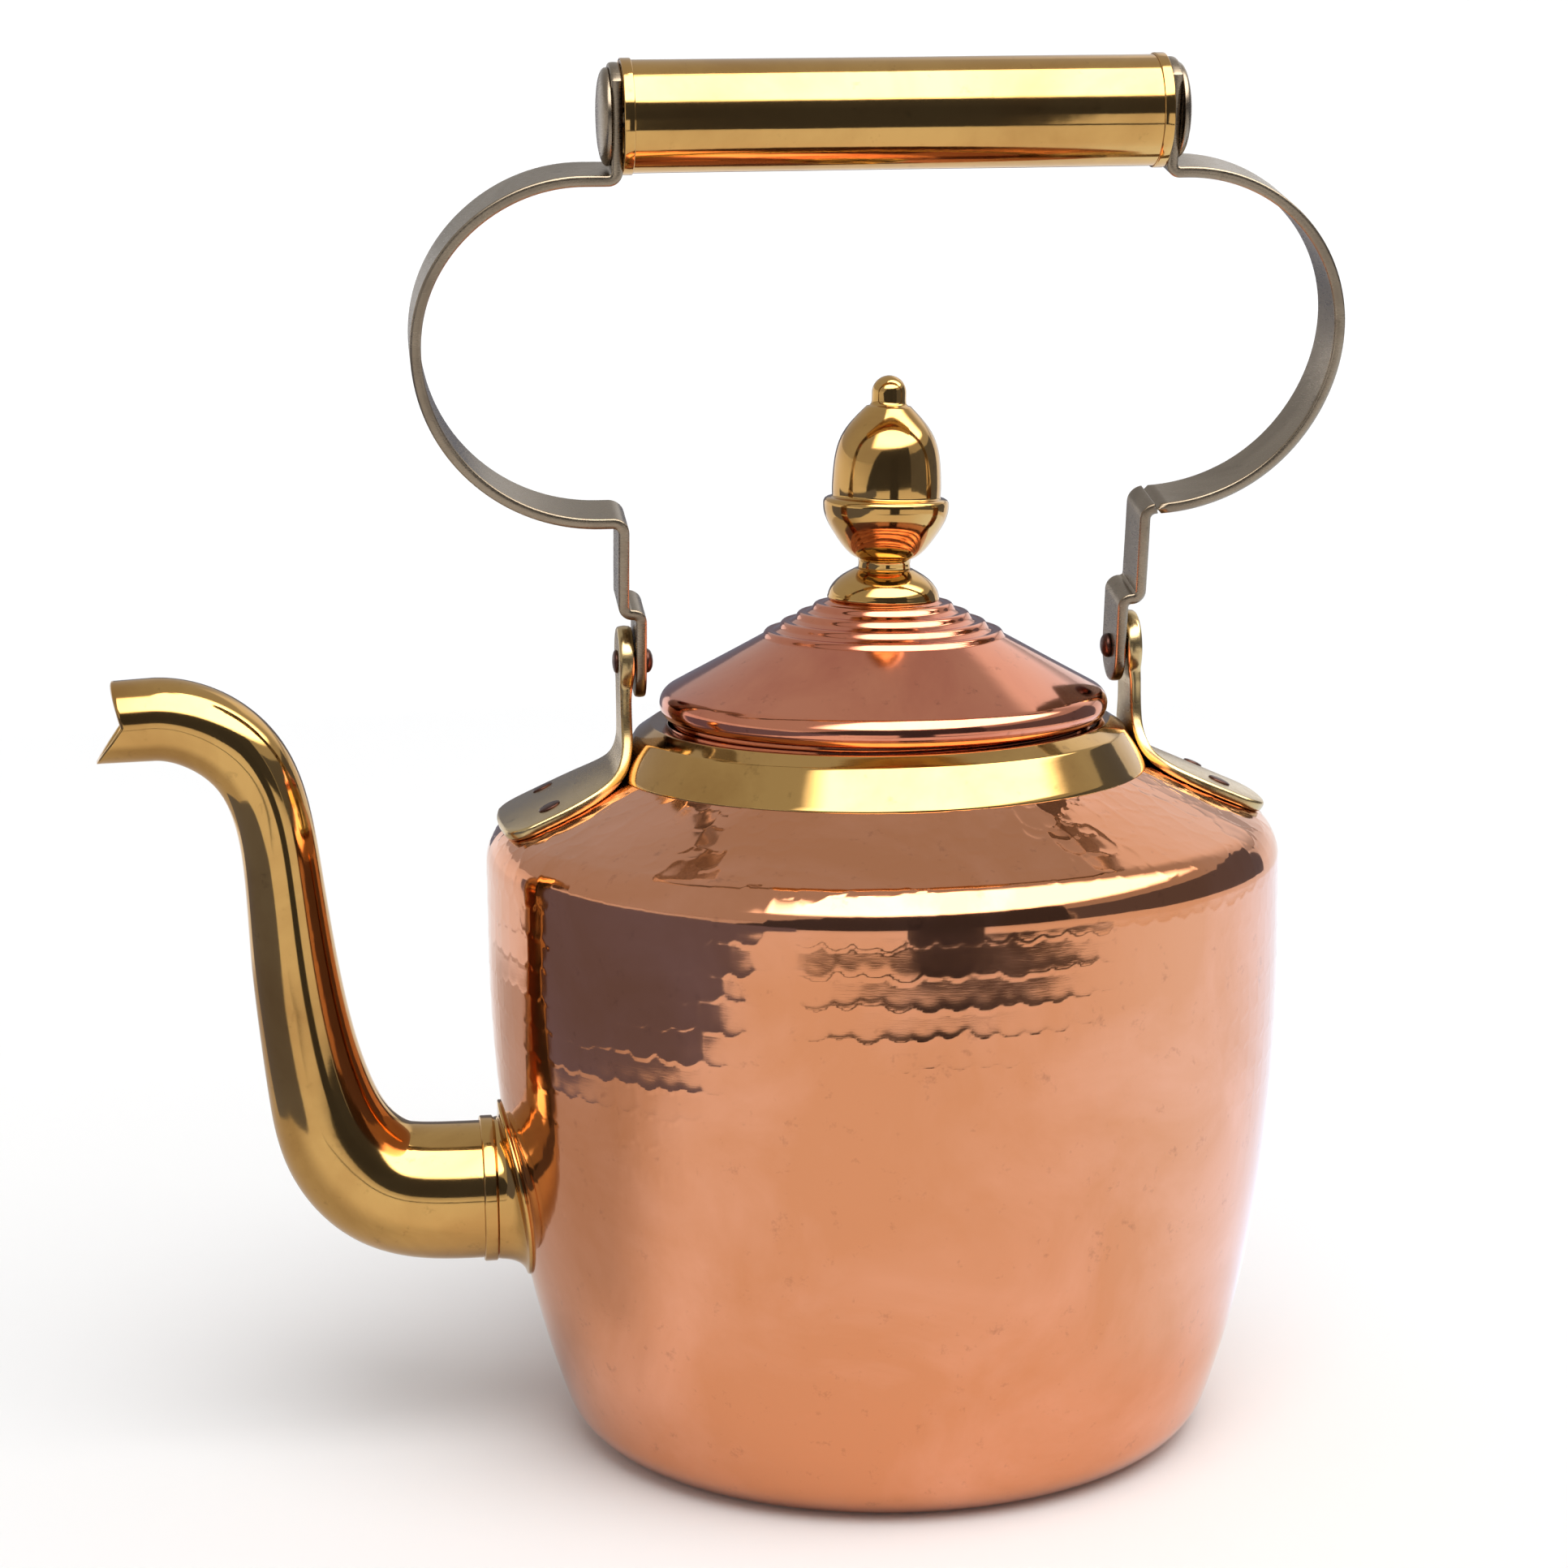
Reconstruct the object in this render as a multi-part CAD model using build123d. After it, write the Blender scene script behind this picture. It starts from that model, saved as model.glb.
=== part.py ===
from build123d import *
import math
import os

# Copper kettle with a brass spout, neck collar, acorn finial and swinging handle.
# Millimetres. +Z is up, the spout points to -X and the handle hinges about X.
# The origin is the centre of the ring that the kettle stands on.

# Sheet and plate
COPPER = 1.1
BRASS_SHEET = 1.2
STRAP_THICK = 2.2
STRAP_WIDTH = 12.7

# Body, as radii and heights of its outer surface
BODY_R = 81.9
WALL_TOP_Z = 122.0
BULGE_Z = 104.0
WAIST_R, WAIST_Z = 76.7, 42.0
HEEL_R, HEEL_Z = 67.9, 8.0
STAND_RING_R = 50.0
BASE_LAP_R = 55.5
CREASE_R = 9.0
SHOULDER_DEG = 24.5
NECK_R = 45.0
NECK_TOP_Z = 148.6
NECK_ROOT_R = 2.0

# Neck collar
COLLAR_FOOT_R = 55.0
COLLAR_TOP_R = 47.4
COLLAR_TOP_Z = 149.8
COLLAR_MOUTH_R = 43.8
COLLAR_BULGE = 0.6

# Spout: the centre line as (x, z), and outer radii at those places
SPOUT_Z = 53.3
SPOUT_ROOT_R = 14.25
SPOUT_INNER_END_X = -75.0
SPOUT_STRAIGHT_END_X = -92.0
SPOUT_WALL = 1.1
SPOUT_RINGS = 3
SPOUT_LINE = [
    (-104.5, 55.8, 13.6), (-113.0, 64.0, 12.4), (-117.4, 76.0, 10.7), (-120.0, 90.0, 9.4),
    (-121.9, 106.0, 8.6), (-123.2, 122.0, 7.85), (-125.0, 134.5, 7.8), (-129.2, 144.8, 8.2),
    (-137.4, 152.0, 8.5), (-147.5, 154.6, 8.4), (-162.0, 154.3, 8.3),
]
NOTCH_TOP = (-155.9, 163.4)
NOTCH_DEPTH = (-153.4, 154.2)
NOTCH_BOTTOM = (-159.6, 145.6)
SPOUT_COLLAR_R = 15.1
SPOUT_COLLAR_FLARE_R = 18.3
SPOUT_COLLAR_END_X = -85.0
SPOUT_COLLAR_STEP_X = -82.0

# Handle hinge and lugs
HINGE_Z = 163.2
PIN_R = 2.0
PIN_RUNNING_FIT = 0.06
PIN_HEAD_R = 2.5
PIN_HEAD_THICK = 1.7
PIN_TAIL_R = 2.4
PIN_TAIL_THICK = 1.0
EAR_INNER_X = 51.0
EAR_THICK = 3.05
EAR_R = 7.3
STALK_X = 52.9
LUG_THICK = 2.3
LUG_BEND_R = 9.0
FOOT_INNER_X, FOOT_INNER_HALF = 54.0, 10.0
FOOT_OUTER_R, FOOT_OUTER_HALF = 79.2, 18.0
FOOT_CORNER_R = 6.0
LUG_RIVET_X, LUG_RIVET_Y = 68.4, 10.8
LUG_RIVET_R = 1.5
LUG_RIVET_SEAT = 0.06
LUG_RIVET_HEAD_R = 2.1
LUG_RIVET_HEAD_THICK = 0.55

# Handle straps, as distances out from the middle and up from the hinge
HANDLE_LEAN = 13.0
TAB_X = 49.6
TAB_END = -7.5
JOGGLE = 12.2
UPRIGHT_X = 53.1
LOOP_BOTTOM = 31.6
LOOP_MIDDLE = 67.5
LOOP_OUT_X = 93.4
LOOP_TOP = 100.5
LOOP_START_X = 57.5
GRIP_UP = 111.5
GRIP_R = 10.7
GRIP_HALF = 53.1
GRIP_WALL = 1.0
END_PLATE_R = 10.3
FERRULE_LENGTH = 2.1
FERRULE_RISE = 0.35
CAP_R = 9.3
CAP_EDGE = 1.0
CAP_DOME = 1.3
ROD_R = 2.0
ROD_IN_CAP = 1.1
TIGHT_BEND = 1.7
CORNER_BEND = 2.2

# Lid
LID_R = 46.2
LID_BEAD_R = 1.7
LID_BEAD_Z = 151.85
LID_SHEET = 1.0
LID_LAND_R = 10.4
LID_LAND_Z = 174.4
RIDGE_FIRST_R = 13.6
RIDGE_STEP = 3.4
RIDGE_COUNT = 4
RIDGE_R = 1.2
RIDGE_SINK = 0.55
PLUG_R = 43.0
PLUG_WALL = 1.0
PLUG_BOTTOM_Z = 141.0

# Finial
STUD_R = 2.5
STUD_BOTTOM_Z = 166.5
FOOT_R = 11.4
FOOT_TOP_R = 5.9
FOOT_TOP_Z = 180.2
FOOT_EDGE = 0.9
STEM_R = 5.4
CUP_FOOT_Z = 182.2
CUP_R = 12.85
CUP_RIM_Z = 193.2
ACORN_R = 11.1
ACORN_FOOT_Z = 195.2
ACORN_WIDE_Z = 198.8
NIB_FOOT_Z = 213.6
NIB_R = 3.5
NIB_ROUND = 2.2
NIB_TOP_Z = 219.6
WASHER_R = 7.0
WASHER_THICK = 1.1
NUT_FLAT_R = 4.0
NUT_THICK = 4.0

SLOPE = math.radians(SHOULDER_DEG)
SHOULDER_START = (
    BODY_R - CREASE_R + CREASE_R * math.sin(SLOPE),
    WALL_TOP_Z + CREASE_R * math.cos(SLOPE),
)
SIDES = {"left": -1, "right": 1}

# Which way a line drawn upwards, or outwards from the handle's hinge, is offset
INWARD = Side.LEFT
OUTWARD = Side.RIGHT


def shoulder_z(radius):
    """Height of the shoulder's outer surface at a radius."""
    return SHOULDER_START[1] + (SHOULDER_START[0] - radius) * math.tan(SLOPE)


def upright(sketch):
    """Stand a flat (x, z) drawing up in the plane through the kettle's axis."""
    return Plane.XZ * sketch


def spin(face):
    """Turn an (r, z) face about the kettle's axis."""
    return revolve(upright(face), Axis.Z)


def strip(wire, thickness, side):
    """Face between an open line and the same line moved to one side."""
    return make_face(wire.offset_2d(thickness, side=side, closed=True).edges())


def band(wire, thickness):
    """Face of a thickness with a line down its middle."""
    return strip(wire, thickness / 2, INWARD) + strip(wire, thickness / 2, OUTWARD)


def body_line():
    """Outer (r, z) line of the body, from the standing ring up to the neck edge."""
    belly = TangentArc((BODY_R, BULGE_Z), (WAIST_R, WAIST_Z), tangent=(0, -1))
    heel_run = TangentArc((WAIST_R, WAIST_Z), (HEEL_R, HEEL_Z), tangent=belly % 1)
    heading = heel_run % 1
    heel_r = HEEL_Z / (1 + heading.X)
    stand_r = HEEL_R + heel_r * heading.Y
    heel = TangentArc((HEEL_R, HEEL_Z), (stand_r, 0), tangent=heading)
    stand = Line((STAND_RING_R, 0), (stand_r, 0))
    wall = Line((BODY_R, WALL_TOP_Z), (BODY_R, BULGE_Z))
    crease = TangentArc((BODY_R, WALL_TOP_Z), SHOULDER_START, tangent=(0, 1))
    neck_corner = (NECK_R, shoulder_z(NECK_R))
    shoulder = FilletPolyline(SHOULDER_START, neck_corner, (NECK_R, NECK_TOP_Z), radius=NECK_ROOT_R)
    return Wire([stand, heel, heel_run, belly, wall, crease] + shoulder.edges())


def body_solid():
    """The body as if it were solid, for fitting the pieces that sit on it."""
    line = body_line()
    close = Polyline((NECK_R, NECK_TOP_Z), (0, NECK_TOP_Z), (0, 0), (STAND_RING_R, 0))
    return spin(make_face(line.edges() + close.edges()))


def along_x(radius, start_x, end_x, z):
    """Round bar along X."""
    return Plane(origin=(start_x, 0, z), z_dir=(1, 0, 0)) * extrude(Circle(radius), end_x - start_x)


def shoulder_frame(side, y):
    """Plane on the shoulder at a lug rivet, with its normal out of the copper."""
    x = side * LUG_RIVET_X
    radius = math.hypot(x, y)
    out = (x / radius * math.sin(SLOPE), y / radius * math.sin(SLOPE), math.cos(SLOPE))
    return Plane(origin=(x, y, shoulder_z(radius)), z_dir=out)


def rivet_frames(side):
    return [shoulder_frame(side, y) for y in (-LUG_RIVET_Y, LUG_RIVET_Y)]


def rivet_holes():
    hole = extrude(Circle(LUG_RIVET_R), LUG_THICK * 3, both=True)
    return [frame * hole for side in SIDES.values() for frame in rivet_frames(side)]


def body_shell():
    """Raised copper wall, shoulder and neck in one piece."""
    shell = spin(strip(body_line(), COPPER, INWARD))
    spout_hole = along_x(SPOUT_ROOT_R, -BODY_R, -STAND_RING_R, SPOUT_Z)
    return shell - spout_hole - rivet_holes()


def base_plate():
    """Round copper bottom, lapped on top of the wall's turned-in edge."""
    return Pos(0, 0, COPPER) * extrude(Circle(BASE_LAP_R), COPPER)


def neck_collar():
    """Spun brass collar that hides the neck joint and carries the lid."""
    foot = (COLLAR_FOOT_R, shoulder_z(COLLAR_FOOT_R))
    top = (COLLAR_TOP_R, COLLAR_TOP_Z)
    middle = ((foot[0] + top[0]) / 2 + COLLAR_BULGE, (foot[1] + top[1]) / 2 + COLLAR_BULGE)
    skirt = ThreePointArc(foot, middle, top)
    lip = Line(top, (COLLAR_MOUTH_R, COLLAR_TOP_Z))
    return spin(strip(Wire([skirt, lip]), BRASS_SHEET, INWARD)) - body_solid()


def spout_skin(shrink):
    """Solid spout of the outer radii less a wall, lofted through rings square to its line."""
    stations = [(SPOUT_STRAIGHT_END_X, SPOUT_Z, SPOUT_ROOT_R)] + SPOUT_LINE
    places = [Vector(x, 0, z) for x, z, _ in stations]
    path = Spline(places, tangents=[(-1, 0, 0), (-1, 0, 0)])
    marks = [path.param_at_point(place) for place in places]
    rings = [facing_x(SPOUT_INNER_END_X, SPOUT_Z, -1) * Circle(SPOUT_ROOT_R - shrink)]
    for step in range((len(stations) - 1) * SPOUT_RINGS + 1):
        index = min(step // SPOUT_RINGS, len(stations) - 2)
        share = step / SPOUT_RINGS - index
        at = marks[index] + (marks[index + 1] - marks[index]) * share
        radius = stations[index][2] + (stations[index + 1][2] - stations[index][2]) * share
        square = Plane(origin=path @ at, x_dir=(0, 1, 0), z_dir=path % at)
        rings.append(square * Circle(radius - shrink))
    return loft(rings, ruled=True)


def hollow(outside, inside):
    """Solid between two nested skins that are open through their flat ends."""
    faces = outside.faces() + inside.faces()
    walls = [face for face in faces if face.geom_type != GeomType.PLANE]
    ends = outside.faces().filter_by(GeomType.PLANE)
    mouths = inside.faces().filter_by(GeomType.PLANE)
    rims = [end - end_mouth for end, end_mouth in zip(ends.sort_by(Axis.X), mouths.sort_by(Axis.X))]
    return Solid(Shell(walls + [face for rim in rims for face in rim.faces()]))


def spout_tube():
    """Tapered swan-neck spout with a notched beak at its mouth."""
    beyond = NOTCH_BOTTOM[0] - SPOUT_ROOT_R
    notch = Polyline(
        NOTCH_TOP, NOTCH_DEPTH, NOTCH_BOTTOM, (beyond, NOTCH_BOTTOM[1]), (beyond, NOTCH_TOP[1]),
        close=True,
    )
    cutter = extrude(upright(make_face(notch.edges())), SPOUT_ROOT_R, both=True)
    return hollow(spout_skin(0), spout_skin(SPOUT_WALL)) - cutter


def spout_collar():
    """Brass sleeve round the spout's root, flared onto the body."""
    deep_x = SPOUT_INNER_END_X + SPOUT_WALL * 2
    outline = Polyline(
        (SPOUT_COLLAR_END_X, SPOUT_ROOT_R),
        (SPOUT_COLLAR_END_X, SPOUT_COLLAR_R),
        (SPOUT_COLLAR_STEP_X, SPOUT_COLLAR_R),
    )
    flare = TangentArc(
        (SPOUT_COLLAR_STEP_X, SPOUT_COLLAR_R), (deep_x, SPOUT_COLLAR_FLARE_R), tangent=(1, 0)
    )
    close = Polyline((deep_x, SPOUT_COLLAR_FLARE_R), (deep_x, SPOUT_ROOT_R), outline @ 0)
    face = make_face(outline.edges() + [flare] + close.edges())
    sleeve = revolve(upright(face), Axis.X)
    return Pos(0, 0, SPOUT_Z) * sleeve - body_solid()


def lug_foot():
    """Flared foot of the right lug, following the shoulder."""
    skin = spin(strip(body_line(), LUG_THICK, OUTWARD))
    outer_x = math.sqrt(FOOT_OUTER_R**2 - FOOT_OUTER_HALF**2)
    corners = [
        (FOOT_INNER_X, FOOT_INNER_HALF), (COLLAR_FOOT_R + LUG_BEND_R, FOOT_OUTER_HALF - 1),
        (outer_x, FOOT_OUTER_HALF),
    ]
    side = Polyline(corners)
    other = Polyline([(x, -y) for x, y in corners])
    outer = ThreePointArc(side @ 1, (FOOT_OUTER_R, 0), other @ 1)
    inner = Line(side @ 0, other @ 0)
    plan = make_face(side.edges() + other.edges() + [outer, inner])
    plan = fillet(plan.vertices().group_by(Axis.X)[-1], FOOT_CORNER_R)
    return skin & Pos(0, 0, BULGE_Z) * extrude(plan, HINGE_Z - BULGE_Z)


def lug_stalk():
    """Upright of the right lug, bent out at the bottom to meet its foot."""
    rise = LUG_THICK / 2 / math.cos(SLOPE)
    end_x = COLLAR_FOOT_R + LUG_BEND_R
    path = FilletPolyline(
        (STALK_X, HINGE_Z),
        (STALK_X, shoulder_z(STALK_X) + rise),
        (end_x, shoulder_z(end_x) + rise),
        radius=LUG_BEND_R,
    )
    bar = extrude(upright(band(Wire(path.edges()), LUG_THICK)), FOOT_OUTER_HALF, both=True)
    waist_z = NECK_TOP_Z + EAR_R / 2
    flare_z = shoulder_z(end_x)
    outline = Polyline(
        (-EAR_R, HINGE_Z), (-EAR_R, waist_z), (-FOOT_OUTER_HALF, flare_z),
        (FOOT_OUTER_HALF, flare_z), (EAR_R, waist_z), (EAR_R, HINGE_Z), close=True
    )
    return bar & extrude(Plane.YZ * make_face(outline.edges()), BODY_R)


def handle_lug():
    """Right lug: ear, stalk and foot in one casting."""
    ear = along_x(EAR_R, EAR_INNER_X, EAR_INNER_X + EAR_THICK, HINGE_Z)
    lug = lug_foot() + lug_stalk() + ear
    pin_hole = along_x(PIN_R, NECK_R, BODY_R, HINGE_Z)
    return lug - pin_hole - body_solid() - neck_collar() - rivet_holes()


def lug_rivets():
    """Two rivets that hold the right lug to the shoulder."""
    rivets = []
    for frame in rivet_frames(1):
        inside = COPPER + LUG_RIVET_SEAT
        shank = Pos(0, 0, -inside) * extrude(Circle(LUG_RIVET_R), LUG_THICK + inside)
        head = Pos(0, 0, LUG_THICK) * dome(LUG_RIVET_HEAD_R, LUG_RIVET_HEAD_THICK)
        tail = Pos(0, 0, -inside) * Rot(180, 0, 0) * dome(LUG_RIVET_HEAD_R, LUG_RIVET_HEAD_THICK)
        rivets.append(frame * (shank + head + tail))
    return Compound(children=rivets)


def dome(radius, height):
    """Low round dome standing on the XY plane."""
    ball_r = (radius**2 + height**2) / (2 * height)
    ball = Pos(0, 0, height - ball_r) * Sphere(ball_r)
    return ball & extrude(Circle(radius), height)


def facing_x(x, z, outward):
    """Plane at a place on the kettle's X side, facing out (+1) or in (-1)."""
    return Plane(origin=(x, 0, z), x_dir=(0, 1, 0), z_dir=(outward, 0, 0))


def hinge_rivet():
    """Right hinge rivet, fixed in the lug, with the strap turning on it."""
    head_x = TAB_X - STRAP_THICK / 2 - PIN_RUNNING_FIT
    tail_x = EAR_INNER_X + EAR_THICK
    pin = along_x(PIN_R, head_x, tail_x, HINGE_Z)
    head = facing_x(head_x, HINGE_Z, -1) * dome(PIN_HEAD_R, PIN_HEAD_THICK)
    tail = facing_x(tail_x, HINGE_Z, 1) * dome(PIN_TAIL_R, PIN_TAIL_THICK)
    return pin + head + tail


def strap_line():
    """Centre line of the right strap as (x, height above the hinge)."""
    lower_r = LOOP_MIDDLE - LOOP_BOTTOM
    upper_r = LOOP_TOP - LOOP_MIDDLE
    end_x = GRIP_HALF + STRAP_THICK / 2
    root = FilletPolyline(
        (TAB_X, TAB_END), (TAB_X, JOGGLE), (UPRIGHT_X, JOGGLE), (UPRIGHT_X, LOOP_BOTTOM),
        (LOOP_START_X, LOOP_BOTTOM), radius=[TIGHT_BEND, TIGHT_BEND, CORNER_BEND],
    )
    lower = CenterArc((LOOP_OUT_X - lower_r, LOOP_MIDDLE), lower_r, -90, 90)
    upper = CenterArc((LOOP_OUT_X - upper_r, LOOP_MIDDLE), upper_r, 0, 90)
    tip = FilletPolyline(
        (LOOP_OUT_X - upper_r, LOOP_TOP), (end_x, LOOP_TOP), (end_x, GRIP_UP + END_PLATE_R),
        radius=TIGHT_BEND,
    )
    return Wire(root.edges() + [lower, upper] + tip.edges())


def handle_strap():
    """Right strap: hinge tab, joggle, outward loop and upturned end plate."""
    strap = extrude(upright(band(strap_line(), STRAP_THICK)), STRAP_WIDTH / 2, both=True)
    tab_outline = SlotOverall(GRIP_UP * 4, STRAP_WIDTH, rotation=90)
    strap = strap & Pos(0, 0, TAB_END + GRIP_UP * 2) * extrude(Plane.YZ * tab_outline, BODY_R * 2)
    end_box = Pos(GRIP_HALF, 0, LOOP_TOP + STRAP_THICK) * Box(
        STRAP_THICK * 3, STRAP_WIDTH * 2, GRIP_R * 3, align=(Align.CENTER, Align.CENTER, Align.MIN)
    )
    round_end = along_x(END_PLATE_R, 0, LOOP_OUT_X, GRIP_UP)
    strap = strap - (end_box - round_end)
    pin_hole = along_x(PIN_R + PIN_RUNNING_FIT, 0, UPRIGHT_X, 0)
    rod_hole = along_x(ROD_R, 0, LOOP_OUT_X, GRIP_UP)
    return strap - pin_hole - rod_hole


def grip_tube():
    """Plain brass tube that the hand holds."""
    ring = Circle(GRIP_R) - Circle(GRIP_R - GRIP_WALL)
    return Plane(origin=(-GRIP_HALF, 0, GRIP_UP), z_dir=(1, 0, 0)) * extrude(ring, GRIP_HALF * 2)


def grip_ferrule():
    """Thin round-edged ring on the right end of the grip."""
    ring = Circle(GRIP_R + FERRULE_RISE) - Circle(GRIP_R)
    start = Plane(origin=(GRIP_HALF - FERRULE_LENGTH, 0, GRIP_UP), z_dir=(1, 0, 0))
    band = start * extrude(ring, FERRULE_LENGTH)
    rims = band.edges().filter_by(GeomType.CIRCLE).group_by(SortBy.RADIUS)[-1]
    return fillet(rims, FERRULE_RISE * 0.6)


def grip_cap():
    """Domed cap riveted over the right strap's end plate."""
    start = facing_x(GRIP_HALF + STRAP_THICK, GRIP_UP, 1)
    cap = extrude(Circle(CAP_R), CAP_EDGE) + Pos(0, 0, CAP_EDGE) * dome(CAP_R, CAP_DOME)
    return start * (cap - extrude(Circle(ROD_R), ROD_IN_CAP))


def grip_tie_rod():
    """Rod through the grip that pulls both straps and caps together."""
    reach = GRIP_HALF + STRAP_THICK + ROD_IN_CAP
    return along_x(ROD_R, -reach, reach, GRIP_UP)


def lid_cone_z(radius, drop=0.0):
    """Height of the lid's conical top at a radius, less a depth square to it."""
    bead_x = LID_R - LID_BEAD_R
    run = bead_x - LID_LAND_R
    slope = math.atan2(LID_LAND_Z - LID_BEAD_Z, run)
    for _ in range(8):
        touch_x = bead_x + LID_BEAD_R * math.sin(slope)
        touch_z = LID_BEAD_Z + LID_BEAD_R * math.cos(slope)
        slope = math.atan2(LID_LAND_Z - touch_z, touch_x - LID_LAND_R)
    return LID_LAND_Z - (radius - LID_LAND_R) * math.tan(slope) - drop / math.cos(slope)


def lid_cover():
    """Conical copper lid with a wired rim and raised rings round the finial."""
    bead_x = LID_R - LID_BEAD_R
    under_land = LID_LAND_Z - LID_SHEET
    inner_land_r = LID_LAND_R - LID_SHEET / 2
    cone = Polyline(
        (STUD_R, LID_LAND_Z), (LID_LAND_R, LID_LAND_Z), (bead_x, lid_cone_z(bead_x)),
        (bead_x, lid_cone_z(bead_x, LID_SHEET)), (inner_land_r, under_land), (STUD_R, under_land),
        close=True,
    )
    cover = spin(make_face(cone.edges())) + Pos(0, 0, LID_BEAD_Z) * Torus(bead_x, LID_BEAD_R)
    for ring in range(RIDGE_COUNT):
        radius = RIDGE_FIRST_R + ring * RIDGE_STEP
        cover = cover + Pos(0, 0, lid_cone_z(radius, RIDGE_SINK)) * Torus(radius, RIDGE_R)
    return cover


def lid_plug():
    """Copper ring soldered under the lid, which drops into the neck."""
    inner_r = PLUG_R - PLUG_WALL
    outline = Polyline(
        (inner_r, PLUG_BOTTOM_Z), (PLUG_R, PLUG_BOTTOM_Z), (PLUG_R, LID_BEAD_Z), (inner_r, LID_LAND_Z),
        close=True,
    )
    return spin(make_face(outline.edges())) - lid_cover() - lid_cone_above()


def lid_cone_above():
    """Everything over the lid's underside, for trimming the plug."""
    outline = Polyline(
        (0, lid_cone_z(0, LID_SHEET)), (LID_R, lid_cone_z(LID_R, LID_SHEET)),
        (LID_R, NIB_TOP_Z), (0, NIB_TOP_Z), close=True
    )
    return spin(make_face(outline.edges()))


def finial_acorn():
    """Turned acorn with its cup, stem and threaded stud."""
    cup_side = Spline(
        (STEM_R, CUP_FOOT_Z), (CUP_R * 0.8, CUP_RIM_Z - 6.2), (CUP_R, CUP_RIM_Z), tangents=[(1, 0.4), (0, 1)]
    )
    cup_rim = ThreePointArc(
        (CUP_R, CUP_RIM_Z), (CUP_R - 0.35, CUP_RIM_Z + 1.4), (ACORN_R, ACORN_FOOT_Z)
    )
    acorn = Spline(
        (ACORN_R, ACORN_FOOT_Z), (ACORN_R, ACORN_WIDE_Z),
        (ACORN_R * 0.86, NIB_FOOT_Z - 6.5), (NIB_R, NIB_FOOT_Z),
    )
    nib = Line((NIB_R, NIB_FOOT_Z), (NIB_R, NIB_TOP_Z - NIB_ROUND))
    nib_top = CenterArc((NIB_R - NIB_ROUND, NIB_TOP_Z - NIB_ROUND), NIB_ROUND, 0, 90)
    inside = Polyline(
        (NIB_R - NIB_ROUND, NIB_TOP_Z), (0, NIB_TOP_Z), (0, STUD_BOTTOM_Z),
        (STUD_R, STUD_BOTTOM_Z), (STUD_R, FOOT_TOP_Z), (STEM_R, FOOT_TOP_Z), (STEM_R, CUP_FOOT_Z),
    )
    return spin(make_face([cup_side, cup_rim, acorn, nib, nib_top] + inside.edges()))


def finial_foot():
    """Domed brass foot between the acorn's stem and the lid."""
    edge_z = lid_cone_z(FOOT_R)
    side = ThreePointArc(
        (FOOT_R, edge_z + FOOT_EDGE), (FOOT_R * 0.82, edge_z + 4.2), (FOOT_TOP_R, FOOT_TOP_Z)
    )
    rest = Polyline(
        (FOOT_TOP_R, FOOT_TOP_Z), (STUD_R, FOOT_TOP_Z), (STUD_R, LID_LAND_Z), (LID_LAND_R, LID_LAND_Z),
        (FOOT_R, edge_z), (FOOT_R, edge_z + FOOT_EDGE)
    )
    return spin(make_face([side] + rest.edges()))


def finial_washer():
    top_z = LID_LAND_Z - LID_SHEET
    return Pos(0, 0, top_z - WASHER_THICK) * extrude(Circle(WASHER_R) - Circle(STUD_R), WASHER_THICK)


def finial_nut():
    bottom_z = LID_LAND_Z - LID_SHEET - WASHER_THICK - NUT_THICK
    hexagon = RegularPolygon(NUT_FLAT_R, 6, major_radius=False)
    return Pos(0, 0, bottom_z) * extrude(hexagon - Circle(STUD_R), NUT_THICK)


def on_handle(shape):
    """Place a handle piece at the hinge, leaning as it hangs at rest."""
    return Pos(0, 0, HINGE_Z) * Rot(HANDLE_LEAN, 0, 0) * shape


def pair(name, right_shape):
    """The right piece and its mirror image on the left."""
    return {"right_" + name: right_shape, "left_" + name: mirror(right_shape, Plane.YZ)}


nodes = {
    "body_shell": body_shell(),
    "base_plate": base_plate(),
    "neck_collar": neck_collar(),
    "spout_tube": spout_tube(),
    "spout_collar": spout_collar(),
    "grip_tube": on_handle(grip_tube()),
    "grip_tie_rod": on_handle(grip_tie_rod()),
    "lid_cover": lid_cover(),
    "lid_plug": lid_plug(),
    "finial_acorn": finial_acorn(),
    "finial_foot": finial_foot(),
    "finial_washer": finial_washer(),
    "finial_nut": finial_nut(),
}
nodes.update(pair("handle_lug", handle_lug()))
nodes.update(pair("lug_rivets", lug_rivets()))
nodes.update(pair("hinge_rivet", hinge_rivet()))
nodes.update(pair("handle_strap", on_handle(handle_strap())))
nodes.update(pair("grip_ferrule", on_handle(grip_ferrule())))
nodes.update(pair("grip_cap", on_handle(grip_cap())))

os.makedirs("parts", exist_ok=True)
for name, shape in nodes.items():
    export_step(shape, f"parts/{name}.step")
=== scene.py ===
import math

import bmesh
import bpy
import numpy as np
from mathutils import Matrix, Vector


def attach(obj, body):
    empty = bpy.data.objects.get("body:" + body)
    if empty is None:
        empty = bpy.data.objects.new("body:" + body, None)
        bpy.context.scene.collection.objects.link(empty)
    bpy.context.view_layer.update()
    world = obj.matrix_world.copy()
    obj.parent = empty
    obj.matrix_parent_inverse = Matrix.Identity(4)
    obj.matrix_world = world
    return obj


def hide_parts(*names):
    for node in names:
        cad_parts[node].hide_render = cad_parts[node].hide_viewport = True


# Copper kettle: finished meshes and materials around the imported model.
# Outlines are in millimetres, as in the part's own drawing, and become metres as meshes are made.

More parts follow.
